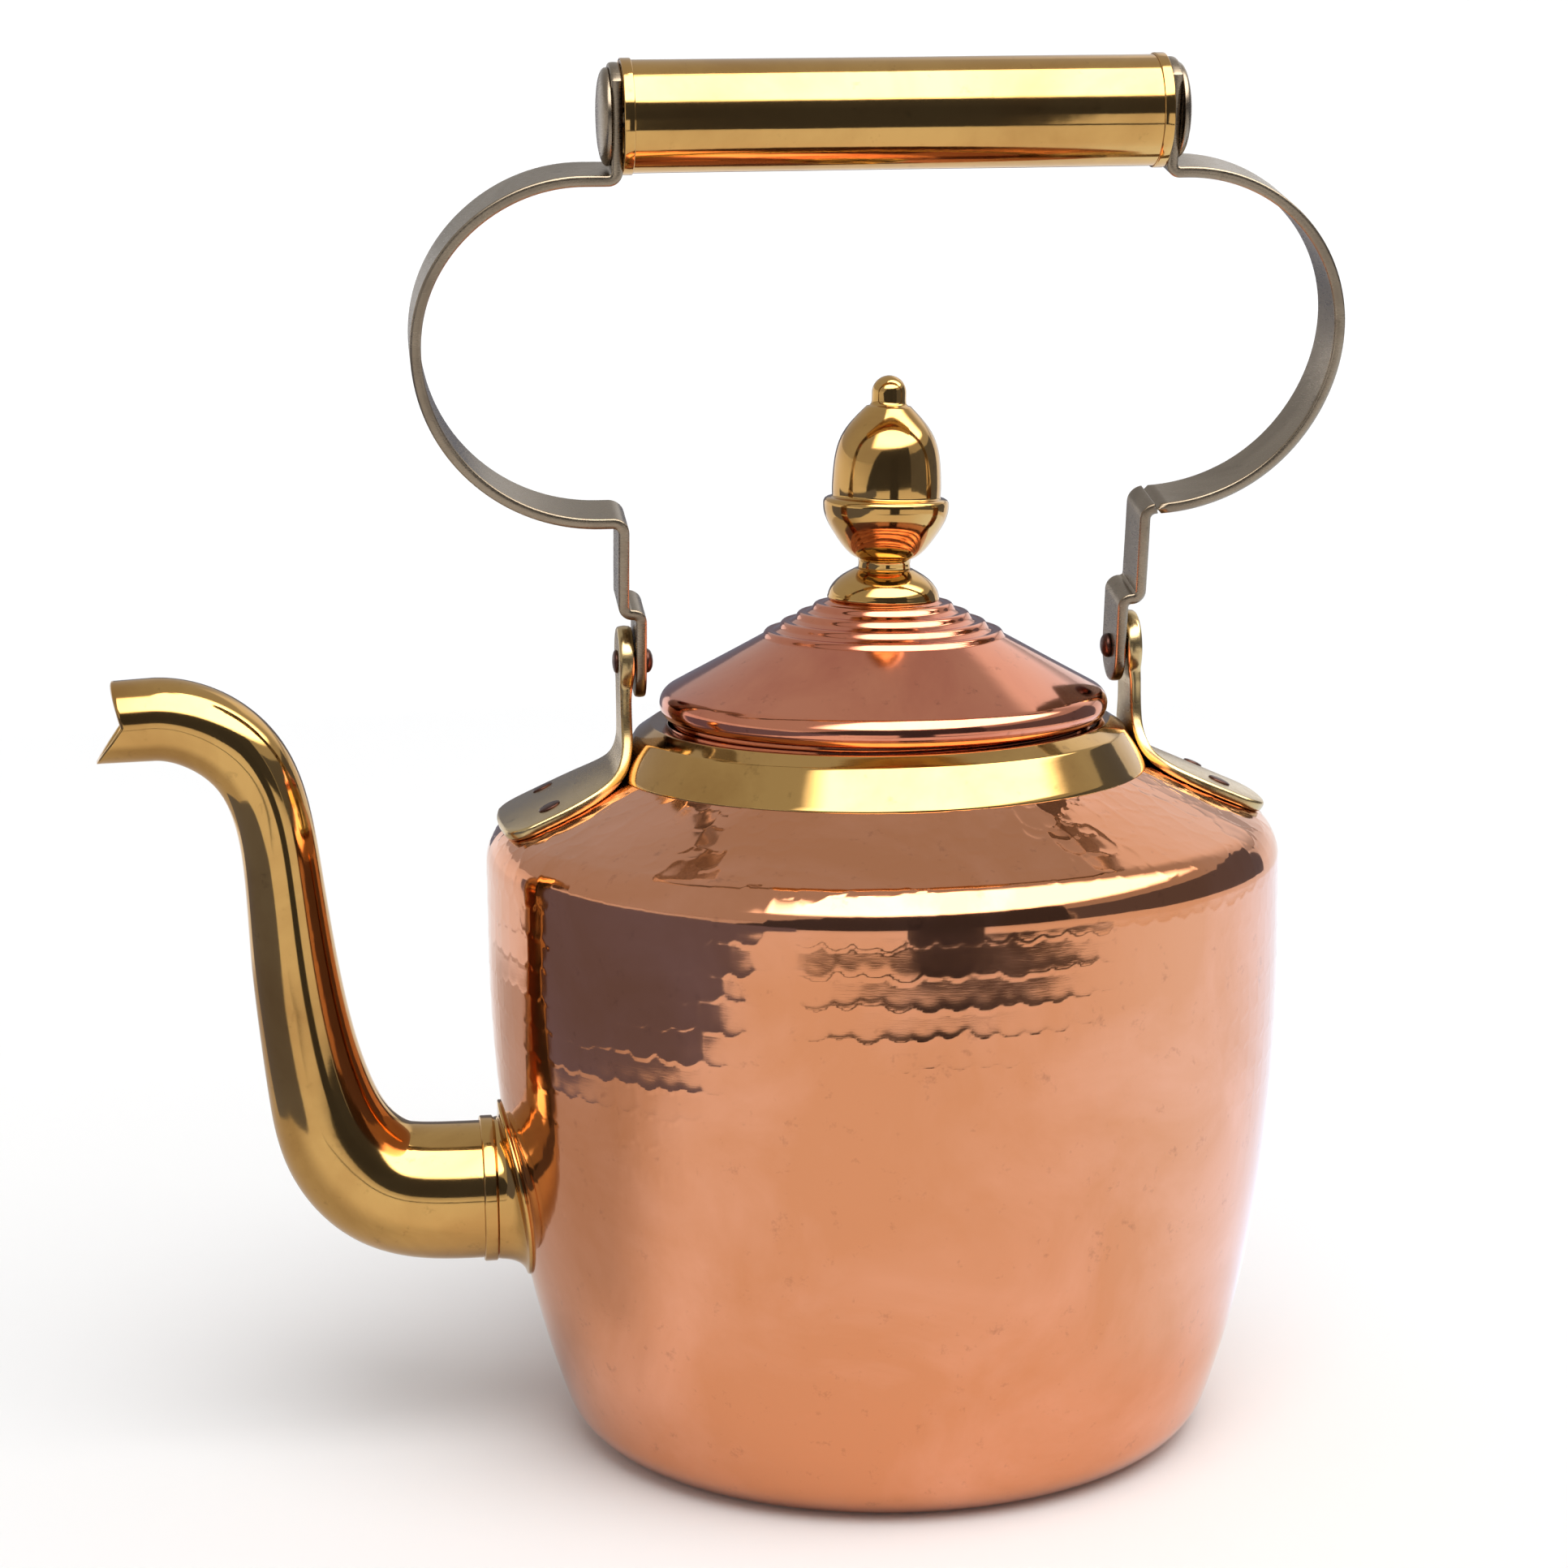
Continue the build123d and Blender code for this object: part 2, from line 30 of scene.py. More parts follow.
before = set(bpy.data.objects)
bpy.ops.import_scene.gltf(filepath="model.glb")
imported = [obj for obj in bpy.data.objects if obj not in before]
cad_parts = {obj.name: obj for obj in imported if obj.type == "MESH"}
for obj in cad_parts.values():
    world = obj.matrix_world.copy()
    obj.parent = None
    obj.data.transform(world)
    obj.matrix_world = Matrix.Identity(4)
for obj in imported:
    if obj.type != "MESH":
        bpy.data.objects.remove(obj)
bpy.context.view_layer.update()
MM = 0.001
SIDES = {-1: "left", 1: "right"}

# Sheet
COPPER = 1.1
BRASS_SHEET = 1.2

# Body, as radii and heights of its outer surface
BODY_R = 81.9
WALL_TOP_Z = 122.0
BULGE_Z = 104.0
WAIST_R, WAIST_Z = 76.7, 42.0
HEEL_R, HEEL_Z = 67.9, 8.0
STAND_RING_R = 50.0
BASE_MARGIN = 5
CREASE_R = 9.0
SHOULDER_DEG = 24.5
NECK_R = 45.0
NECK_TOP_Z = 148.6
HAMMERED_Z, HAMMERED_STEP = 72.0, 0.5
SLOPE = math.radians(SHOULDER_DEG)
SHOULDER_START = (
    BODY_R - CREASE_R + CREASE_R * math.sin(SLOPE),
    WALL_TOP_Z + CREASE_R * math.cos(SLOPE),
)

# Neck collar
COLLAR_FOOT_R = 55.0
COLLAR_TOP_R = 47.4
COLLAR_TOP_Z = 149.8
COLLAR_MOUTH_R = 43.8
COLLAR_KNEE_R, COLLAR_KNEE_Z = 50.6, 147.7

# Spout: the centre line as (x, z), and outer radii at those places
SPOUT_Z = 53.3
SPOUT_ROOT_R = 14.25
SPOUT_WALL = 1.1
SPOUT_LINE = [
    (-75.0, 53.3, 14.25), (-92.0, 53.3, 14.25), (-104.5, 55.8, 13.6), (-113.0, 64.0, 12.4),
    (-117.4, 76.0, 10.7), (-120.0, 90.0, 9.4), (-121.9, 106.0, 8.6), (-123.2, 122.0, 7.85),
    (-125.0, 134.5, 7.8), (-129.2, 144.8, 8.2), (-137.4, 152.0, 8.5), (-147.5, 154.6, 8.4),
]
SPOUT_TIP_Z = 154.3
NOTCH = [(-159.6, 145.6), (-153.4, 154.2), (-155.9, 163.4)]
SPOUT_COLLAR_R = 15.1
SPOUT_COLLAR_FLARE_R = 18.3
SPOUT_COLLAR_END_X = -85.0
SPOUT_COLLAR_STEP_X = -82.0

# Handle hinge and lugs
HINGE_Z = 163.2
HANDLE_LEAN = math.radians(13.0)
PIN_R = 2.0
PIN_HEAD_R, PIN_HEAD_THICK = 2.5, 1.7
PIN_TAIL_R, PIN_TAIL_THICK = 2.4, 1.0
EAR_INNER_X = 51.0
EAR_THICK = 3.05
EAR_R = 7.3
STALK_X = 52.9
STALK_HALF = 5.9
LUG_THICK = 2.3
LUG_BEND_R = 9.0
FOOT_OUTER_R, FOOT_OUTER_HALF = 79.2, 18.0
FOOT_CORNER_R = 6.0
LUG_RIVET_X, LUG_RIVET_Y = 68.4, 10.8
LUG_RIVET_HEAD_R, LUG_RIVET_HEAD_THICK = 2.1, 0.55

# Handle straps, as distances out from the middle and up from the hinge
STRAP_THICK = 2.2
STRAP_WIDTH = 12.7
TAB_X = 49.6
TAB_END = -7.5
JOGGLE = 12.2
UPRIGHT_X = 53.1
LOOP_BOTTOM = 31.6
LOOP_MIDDLE = 67.5
LOOP_OUT_X = {-1: 93.4, 1: 90.6}
LOOP_TOP = 100.5
GRIP_UP = 111.5
GRIP_R = 10.7
GRIP_HALF = 53.1
GRIP_WALL = 1.0
END_PLATE_R = 10.3
FERRULE_LENGTH = 2.1
FERRULE_RISE = 0.35
CAP_R, CAP_EDGE, CAP_DOME, CAP_BEVEL = 9.3, 1.0, 1.3, 0.35
TIGHT_BEND = 1.7
CORNER_BEND = 2.2

# Lid
LID_R = 46.2
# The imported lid's bead, which sets the foot and the underside of the lid shown
LID_BEAD_R = 1.7
LID_BEAD_Z = 151.85
LID_SHEET = 1.0
LID_ROLL_R = 3.5
LID_ROLL_Z = 152.75
LID_LAND_R = 10.4
LID_LAND_Z = 174.4
RIDGE_FIRST_R = 13.6
RIDGE_STEP = 3.4
RIDGE_COUNT = 4
RIDGE_HALF = 1.2
RIDGE_RISE = 0.65
STUD_R = 2.5

# Finial
FOOT_R = 11.4
FOOT_TOP_R = 5.9
FOOT_TOP_Z = 180.2
FOOT_EDGE = 0.9
STEM_R = 5.4
CUP_FOOT_Z = 182.2
CUP_R = 12.85
CUP_RIM_Z = 193.2
ACORN_R = 11.1
ACORN_FOOT_Z = 195.2
ACORN_WIDE_Z = 198.8
NIB_FOOT_Z = 213.6
NIB_R = 3.5
NIB_TOP_Z = 219.6


# ---------------------------------------------------------------- outlines

def arc(centre, radius, start_deg, end_deg, steps):
    """Points of an arc, its ends included."""
    turns = np.radians(np.linspace(start_deg, end_deg, steps + 1))
    return [(centre[0] + radius * math.cos(t), centre[1] + radius * math.sin(t)) for t in turns]


def tangent_arc(start, heading, end, steps):
    """Points from start to end of the arc that leaves start along heading, and its last heading."""
    chord = (end[0] - start[0], end[1] - start[1])
    length = math.hypot(*chord)
    base = math.atan2(heading[1], heading[0])
    bend = math.atan2(chord[1], chord[0]) - base
    bend = (bend + math.pi) % (2 * math.pi) - math.pi
    points = []
    for share in np.linspace(0, 1, steps + 1):
        reach = length * math.sin(bend * share) / math.sin(bend)
        points.append((start[0] + reach * math.cos(base + bend * share),
                       start[1] + reach * math.sin(base + bend * share)))
    last = base + 2 * bend
    return points, (math.cos(last), math.sin(last))


def rounded(points, radii, steps=8):
    """A run of straight lines with its inner corners rounded."""
    out = [points[0]]
    for before, corner, after, radius in zip(points, points[1:], points[2:], radii):
        a = (Vector(before) - Vector(corner)).normalized()
        b = (Vector(after) - Vector(corner)).normalized()
        half = a.angle(b) / 2
        run = radius / math.tan(half)
        centre = Vector(corner) + (a + b).normalized() * (radius / math.sin(half))
        first = Vector(corner) + a * run - centre
        turn = -first.angle_signed(Vector(corner) + b * run - centre)
        for share in np.linspace(0, 1, steps + 1):
            spot = Matrix.Rotation(turn * share, 2) @ first
            out.append(tuple(centre + spot))
    out.append(points[-1])
    return out


def finer(points, pitch):
    """The same line with points no further apart than a pitch."""
    out = [points[0]]
    for a, b in zip(points, points[1:]):
        parts = max(1, math.ceil(math.dist(a, b) / pitch))
        out += [tuple(np.array(a) + (np.array(b) - np.array(a)) * k / parts) for k in range(1, parts + 1)]
    return out


def smooth_line(points, per_span, start=None, end=None):
    """Points along the cubic spline through some points of any dimension, with its end slopes set."""
    knots = np.array(points, float)
    spans = np.linalg.norm(np.diff(knots[:, :2], axis=0), axis=1)
    count = len(knots)
    system, right = np.zeros((count, count)), np.zeros_like(knots)
    for i in range(1, count - 1):
        before, after = spans[i - 1], spans[i]
        system[i, i - 1:i + 2] = after, 2 * (before + after), before
        step_in, step_out = knots[i] - knots[i - 1], knots[i + 1] - knots[i]
        right[i] = 3 * (after * step_in / before + before * step_out / after)
    for row, near, slope in ((0, 1, start), (count - 1, count - 2, end)):
        system[row, row] = 1
        if slope is None:
            system[row, row] = 2
            system[row, near] = 1
            side = 0 if row == 0 else -1
            right[row] = 3 * (knots[max(row, near)] - knots[min(row, near)]) / spans[side]
        else:
            right[row] = slope
    slopes = np.linalg.solve(system, right)
    out = []
    for i, span in enumerate(spans):
        for share in np.linspace(0, 1, per_span, endpoint=False):
            s2, s3 = share**2, share**3
            out.append((2 * s3 - 3 * s2 + 1) * knots[i] + (s3 - 2 * s2 + share) * span * slopes[i]
                       + (3 * s2 - 2 * s3) * knots[i + 1] + (s3 - s2) * span * slopes[i + 1])
    out.append(knots[-1])
    return [tuple(p) for p in out]


def shoulder_z(radius):
    """Height of the shoulder's outer surface at a radius."""
    return SHOULDER_START[1] + (SHOULDER_START[0] - radius) * math.tan(SLOPE)


def body_line():
    """Outer (r, z) line of the body, from the standing ring up to the neck edge."""
    belly, heading = tangent_arc((BODY_R, BULGE_Z), (0, -1), (WAIST_R, WAIST_Z), 48)
    run, heading = tangent_arc((WAIST_R, WAIST_Z), heading, (HEEL_R, HEEL_Z), 28)
    heel_r = HEEL_Z / (1 + heading[0])
    heel, _ = tangent_arc((HEEL_R, HEEL_Z), heading, (HEEL_R + heel_r * heading[1], 0), 14)
    down = [(BODY_R, WALL_TOP_Z)] + belly + run[1:] + heel[1:] + [(STAND_RING_R + 0.5, 0)]
    crease = arc((BODY_R - CREASE_R, WALL_TOP_Z), CREASE_R, 0, 90 - SHOULDER_DEG, 16)
    neck = rounded([crease[-1], (NECK_R, shoulder_z(NECK_R)), (NECK_R, NECK_TOP_Z)], [2.0])
    line = down[::-1] + crease[1:] + neck[1:]
    low = [p for p in line if p[1] < HAMMERED_Z]
    return finer(low, 1.3) + finer(line[len(low):], HAMMERED_STEP)


WALL_LINE = [p for p in body_line() if p[1] <= WALL_TOP_Z]
WALL_HEIGHTS, WALL_RADII = [p[1] for p in WALL_LINE], [p[0] for p in WALL_LINE]


def wall_radius(z):
    """Radius of the body's outer surface at a height on its wall."""
    return float(np.interp(z, WALL_HEIGHTS, WALL_RADII))


def inset(line, depth):
    """An (x, z) line moved square to itself, to the left of the way it runs."""
    pts = np.array(line, float)
    along = np.gradient(pts, axis=0)
    along /= np.linalg.norm(along, axis=1)[:, None]
    return [tuple(p) for p in pts + depth * np.stack([-along[:, 1], along[:, 0]], 1)]


def rounded_lip(outer, inner, steps=6):
    """Half circle from the end of one line to the end of the next one, bulging onward."""
    a, b = np.array(outer[-1]), np.array(inner[0])
    middle, reach = (a + b) / 2, np.linalg.norm(a - b) / 2
    way = a - np.array(outer[-2])
    way = way / np.linalg.norm(way) * reach
    return [tuple(middle + (a - middle) * math.cos(t) + way * math.sin(t))
            for t in np.linspace(0, math.pi, steps + 1)[1:-1]]


# ------------------------------------------------------------------ meshes

def add_object(name, data):
    """New object in the scene."""
    made = bpy.data.objects.new(name, data)
    bpy.context.scene.collection.objects.link(made)
    return made


def build(name, verts, faces, material, body, replaced, place=None):
    """Make a smooth mesh from millimetre points and hang it on its CAD body."""
    pts = np.array(verts, float)
    if place is not None:
        pts = pts @ np.array(place.to_3x3()).T + np.array(place.translation)
    mesh = bpy.data.meshes.new(name)
    mesh.from_pydata((pts * MM).tolist(), [], faces)
    mesh.validate()
    piece = add_object(name, mesh)
    weld(mesh)
    mesh.materials.append(material)
    for polygon in mesh.polygons:
        polygon.use_smooth = True
    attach(piece, body)
    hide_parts(*replaced)


def weld(mesh):
    """Merge points that meet, and turn all faces outwards."""
    bm = bmesh.new()
    bm.from_mesh(mesh)
    bmesh.ops.remove_doubles(bm, verts=bm.verts, dist=2e-6)
    bmesh.ops.recalc_face_normals(bm, faces=bm.faces)
    bm.to_mesh(mesh)
    bm.free()


def grid_faces(rows, columns, wrap_rows=False, wrap_columns=False):
    """Quads over a grid of points, row by row."""
    faces = []
    for i in range(rows if wrap_rows else rows - 1):
        for j in range(columns if wrap_columns else columns - 1):
            i2, j2 = (i + 1) % rows, (j + 1) % columns
            faces.append((i * columns + j, i * columns + j2, i2 * columns + j2, i2 * columns + j))
    return faces


def lathe(outline, segments, relief=None, closed=True):
    """Points and faces of an (r, z) outline turned about Z, raised by an optional relief(r, z, turn)."""
    turns = np.linspace(0, 2 * math.pi, segments, endpoint=False)
    line = np.array(outline, float)
    along = np.gradient(line, axis=0)
    along /= np.maximum(np.linalg.norm(along, axis=1), 1e-9)[:, None]
    r, z = line[:, :1], line[:, 1:]
    rise = relief(r, z, turns[None, :]) if relief else 0.0
    spread = r + along[:, 1:] * rise
    height = z - along[:, :1] * rise
    verts = np.stack([spread * np.cos(turns), spread * np.sin(turns), height + 0 * turns], axis=-1)
    return verts.reshape(-1, 3), grid_faces(len(line), segments, wrap_rows=closed, wrap_columns=True)


def turned(verts):
    """Points turned about Z, laid over to be turned about X."""
    return np.array(verts)[:, [2, 0, 1]]


# ------------------------------------------------------------ hammered relief

ROW_PITCH = 6.0
BLOW_PITCH = 5.2
BLOW_R = 3.7
BLOW_DEPTH = 0.062
UPPER_SPREAD = 0.55
ROUNDS = round(2 * math.pi * BODY_R / BLOW_PITCH)
SEED = 11
dice = np.random.default_rng(SEED)
BLOW_SHIFT = dice.uniform(-1, 1, (4, 64, ROUNDS))


def waves(seed, scale, count=9):
    """Smooth random relief over space, as a sum of plane waves; scale is its wavelength in millimetres."""
    rolls = np.random.default_rng(seed)
    heads = rolls.normal(size=(count, 3))
    sizes = np.linalg.norm(heads, axis=1)[:, None]
    heads *= (2 * math.pi / scale * rolls.uniform(0.6, 1.5, (count, 1))) / sizes
    phases = rolls.uniform(0, 2 * math.pi, count)

    def at(x, y, z):
        total = 0.0
        for (hx, hy, hz), phase in zip(heads, phases):
            total = total + np.sin(hx * x + hy * y + hz * z + phase)
        return total / math.sqrt(count)

    return at


def planished(along, turn, scatter):
    """Relief of hammer blows in rows, each row cutting into the one below: 0 in a blow, 1 at its rim."""
    row = along / ROW_PITCH
    relief = 1.0
    for step in (-1, 0, 1):
        i = np.floor(row).astype(int) + step
        shift = 0.5 * (i % 2) + 0.6 * BLOW_SHIFT[3, i % 64, 0]
        column = turn / (2 * math.pi) * ROUNDS + shift
        nearest = 9.0
        for side in (-1, 0, 1):
            j = np.floor(column).astype(int) + side
            cell = (i % 64, j % ROUNDS)
            dx = (column - j - 0.5 - (0.14 + 0.24 * scatter) * BLOW_SHIFT[(0, *cell)]) * BLOW_PITCH
            dy = (row - i - 0.5 - (0.07 + 0.33 * scatter) * BLOW_SHIFT[(1, *cell)]) * ROW_PITCH
            dy = np.where(dy > 0, UPPER_SPREAD * dy, dy)
            radius = BLOW_R * (1 + 0.12 * BLOW_SHIFT[(2, *cell)])
            nearest = np.minimum(nearest, (dx * dx + dy * dy) / radius**2)
        relief = np.where(nearest < 1, nearest**2, relief)
    return relief


# Heights over which the relief fades in at the foot, fades out at the neck, and its rows grow clear;
# then how faint the rows are below that, and how deep the loose dents
FOOT_FADE = (3, 12)
NECK_FADE = (139.5, 141.5)
ROW_FADE = (58, 96)
FAINTEST = 0.16
SOFT_DEPTH, SMALL_DEPTH = 0.075, 0.012
soft_dents = waves(3, 62)
small_dents = waves(4, 17)


def ease(value, low, high):
    """0 below low, 1 above high, smooth between."""
    share = np.clip((value - low) / (high - low), 0, 1)
    return share * share * (3 - 2 * share)


def body_relief(r, z, turn):
    """Outward rise of the hammered copper: clear rows high on the wall, loose blows on the shoulder."""
    x, y = r * np.cos(turn), r * np.sin(turn)
    on_shoulder = ease(z, WALL_TOP_Z - 1, SHOULDER_START[1])
    along = np.where(z < WALL_TOP_Z, z, WALL_TOP_Z + 1.1 * (BODY_R - r))
    free = ease(z, *FOOT_FADE) * (1 - ease(z, *NECK_FADE))
    clear = FAINTEST + (1 - FAINTEST) * ease(along, *ROW_FADE)
    patchy = np.clip(0.9 + 0.35 * soft_dents(x * 1.3, y * 1.3, z + 40), 0.45, 1.35)
    blows = BLOW_DEPTH * clear * patchy * (1 + 0.2 * on_shoulder) * planished(along, turn, on_shoulder)
    dents = SOFT_DEPTH * soft_dents(x, y, z) + SMALL_DEPTH * small_dents(x, y, z)
    return free * (blows + dents)


# -------------------------------------------------------------- materials

def make_material(name):
    """A node material with its Principled shader and a maker of further nodes."""
    material = bpy.data.materials.new(name)
    material.use_nodes = True
    tree = material.node_tree
    shader = tree.nodes["Principled BSDF"]
    shader.inputs["Metallic"].default_value = 1.0

    def node(kind, **settings):
        made = tree.nodes.new(kind)
        for key, value in settings.items():
            if hasattr(made, key):
                setattr(made, key, value)
            else:
                made.inputs[key.replace("_", " ").title()].default_value = value
        return made

    return material, shader, node, tree.links.new


def add_ramp(node, link, source, stops):
    """Colour ramp over a value; stops are (place, colour or grey)."""
    ramp = node("ShaderNodeValToRGB")
    link(source, ramp.inputs["Fac"])
    elements = ramp.color_ramp.elements
    while len(elements) < len(stops):
        elements.new(0.5)
    for element, (place, colour) in zip(elements, stops):
        element.position = place
        if not isinstance(colour, tuple):
            colour = (colour, colour, colour)
        element.color = (*colour, 1.0)
    return ramp.outputs["Color"]


def srgb(red, green, blue):
    """Linear colour from 0-255 screen values."""
    return tuple(((v / 255 + 0.055) / 1.055) ** 2.4 if v > 10 else v / 3294.6 for v in (red, green, blue))


def metal(name, bright, toned, dark, roughness, patina, grain, bump, spots):
    """Toned metal: two base colours in soft clouds, dark tarnish in specks, hairlines and a fine bump.

    patina is how far the toned colour spreads (0-1), grain the hairline strength,
    bump the height of the fine relief in metres, spots the strength of the dark specks."""
    material, shader, node, link = make_material(name)
    coords = node("ShaderNodeTexCoord").outputs["Object"]

    clouds = node("ShaderNodeTexNoise", scale=28.0, detail=5.0, roughness=0.6, distortion=0.6)
    link(coords, clouds.inputs["Vector"])
    spread = [(0.62 - patina * 0.35, 0.0), (0.88 - patina * 0.2, 1.0)]
    cloud = add_ramp(node, link, clouds.outputs["Fac"], spread)

    tone = node("ShaderNodeMix", data_type="RGBA")
    tone.inputs["A"].default_value = (*bright, 1.0)
    tone.inputs["B"].default_value = (*toned, 1.0)
    link(cloud, tone.inputs["Factor"])

    specks = node("ShaderNodeTexNoise", scale=240.0, detail=6.0, roughness=0.72)
    link(coords, specks.inputs["Vector"])
    speck = add_ramp(node, link, specks.outputs["Fac"], [(0.60, 0.0), (0.74, spots)])
    tarnish = node("ShaderNodeMix", data_type="RGBA")
    tarnish.inputs["B"].default_value = (*dark, 1.0)
    link(tone.outputs["Result"], tarnish.inputs["A"])
    link(speck, tarnish.inputs["Factor"])
    link(tarnish.outputs["Result"], shader.inputs["Base Color"])

    stretch = node("ShaderNodeMapping")
    stretch.inputs["Scale"].default_value = (1.0, 1.0, 9.0)
    link(coords, stretch.inputs["Vector"])
    hairs = node("ShaderNodeTexNoise", scale=420.0, detail=3.0)
    link(stretch.outputs["Vector"], hairs.inputs["Vector"])

    rough = node("ShaderNodeMapRange", to_min=roughness * 0.72, to_max=roughness * 1.45)
    blend = node("ShaderNodeMath", operation="MULTIPLY_ADD")
    link(hairs.outputs["Fac"], blend.inputs[0])
    blend.inputs[1].default_value = grain
    link(clouds.outputs["Fac"], blend.inputs[2])
    link(blend.outputs["Value"], rough.inputs["Value"])
    rough.inputs["From Min"].default_value = 0.3 + grain * 0.3
    rough.inputs["From Max"].default_value = 0.7 + grain * 0.7
    link(rough.outputs["Result"], shader.inputs["Roughness"])

    dents = node("ShaderNodeTexNoise", scale=130.0, detail=2.0)
    link(coords, dents.inputs["Vector"])
    relief = node("ShaderNodeMath", operation="MULTIPLY_ADD")
    link(hairs.outputs["Fac"], relief.inputs[0])
    relief.inputs[1].default_value = grain * 0.25
    link(dents.outputs["Fac"], relief.inputs[2])
    bumps = node("ShaderNodeBump", strength=0.5, distance=bump)
    link(relief.outputs["Value"], bumps.inputs["Height"])
    link(bumps.outputs["Normal"], shader.inputs["Normal"])
    return material


body_copper = metal("body_copper", srgb(208, 139, 98), srgb(222, 156, 122), srgb(112, 64, 50),
                    roughness=0.07, patina=0.6, grain=0.3, bump=0.00005, spots=0.35)
lid_copper = metal("lid_copper", srgb(218, 140, 108), srgb(196, 114, 90), srgb(96, 50, 42),
                   roughness=0.09, patina=0.55, grain=0.3, bump=0.00005, spots=0.5)
bright_brass = metal("bright_brass", srgb(200, 158, 94), srgb(172, 128, 72), srgb(84, 58, 30),
                     roughness=0.075, patina=0.5, grain=0.3, bump=0.00004, spots=0.4)
strap_brass = metal("strap_brass", srgb(142, 128, 110), srgb(108, 95, 80), srgb(60, 50, 40),
                    roughness=0.26, patina=0.5, grain=0.8, bump=0.00008, spots=0.5)
lug_brass = metal("lug_brass", srgb(196, 170, 122), srgb(158, 130, 86), srgb(70, 54, 34),
                  roughness=0.22, patina=0.5, grain=0.5, bump=0.00008, spots=0.5)
dark_rivet = metal("dark_rivet", srgb(92, 62, 54), srgb(62, 42, 36), srgb(30, 22, 20),
                   roughness=0.3, patina=0.6, grain=0.5, bump=0.0002, spots=0.7)
steel = metal("plain_steel", srgb(190, 190, 190), srgb(160, 158, 155), srgb(90, 84, 78),
              roughness=0.3, patina=0.4, grain=0.6, bump=0.0001, spots=0.3)


# ------------------------------------------------------------ kettle pieces

BODY_SEGMENTS = 960
INNER_STEP = 2.4
HOLE_BAND, HOLE_GAP = 1.1, 0.3


def body_shell():
    """Hammered wall, shoulder and neck, plain inside, with a hole for the spout's root."""
    outer = body_line()
    inner = [p for p in inset(outer, COPPER) if p[0] > 0]
    keep = [inner[0]]
    for point in inner[1:]:
        if math.dist(point, keep[-1]) > INNER_STEP or point == inner[-1]:
            keep.append(point)
    back = keep[::-1]
    top = rounded_lip(outer, back)
    outline = outer + top + back + rounded_lip(back, outer)
    outside = np.zeros((len(outline), 1))
    outside[:len(outer)] = 1
    flat, faces = lathe(outline, BODY_SEGMENTS, lambda r, z, turn: outside * body_relief(r, z, turn))
    apart = np.hypot(flat[:, 1], flat[:, 2] - SPOUT_Z)
    west = flat[:, 0] < -STAND_RING_R
    near = west & (apart > SPOUT_ROOT_R - HOLE_BAND) & (apart < SPOUT_ROOT_R)
    pull = (SPOUT_ROOT_R - HOLE_GAP) / np.where(apart > 0, apart, 1)
    flat[near, 1] *= pull[near]
    flat[near, 2] = SPOUT_Z + (flat[near, 2] - SPOUT_Z) * pull[near]
    gone = west & (apart <= SPOUT_ROOT_R - HOLE_BAND)
    faces = [face for face in faces if not any(gone[v] for v in face)]
    build("body_shell_hammered", flat, faces, body_copper, "kettle", ["body_shell"])


def base_plate():
    edge_r = STAND_RING_R + BASE_MARGIN
    outline = [(0, COPPER)] + finer([(0.5, COPPER), (edge_r, COPPER)], 2.5)
    outline += [(edge_r + 0.5, COPPER + 0.3), (edge_r + 0.5, 2 * COPPER)]
    outline += finer([(edge_r, 2 * COPPER), (0.5, 2 * COPPER)], 5) + [(0, 2 * COPPER)]

    def dish(r, z, turn):
        fade = np.clip(1 - r / STAND_RING_R, 0, 1)
        return 0.06 * soft_dents(r * np.cos(turn), r * np.sin(turn), 20) * fade

    verts, faces = lathe(outline, 180, dish, closed=False)
    build("base_plate_dished", verts, faces, body_copper, "kettle", ["base_plate"])


def neck_collar():
    foot = (COLLAR_FOOT_R, shoulder_z(COLLAR_FOOT_R) + 0.25)
    top = (COLLAR_TOP_R, COLLAR_TOP_Z)
    lip = (COLLAR_MOUTH_R + 0.4, COLLAR_TOP_Z)
    outer = finer(rounded([foot, (COLLAR_KNEE_R, COLLAR_KNEE_Z), top, lip], [1.6, 0.9]), 0.8)
    inner = inset(outer, BRASS_SHEET)[::-1]
    outline = outer + rounded_lip(outer, inner) + inner + rounded_lip(inner, outer)

    def wobble(r, z, turn):
        return 0.035 * soft_dents(r * 1.6 * np.cos(turn), r * 1.6 * np.sin(turn), z + 70)

    verts, faces = lathe(outline, 320, wobble)
    build("neck_collar_spun", verts, faces, bright_brass, "kettle", ["neck_collar"])


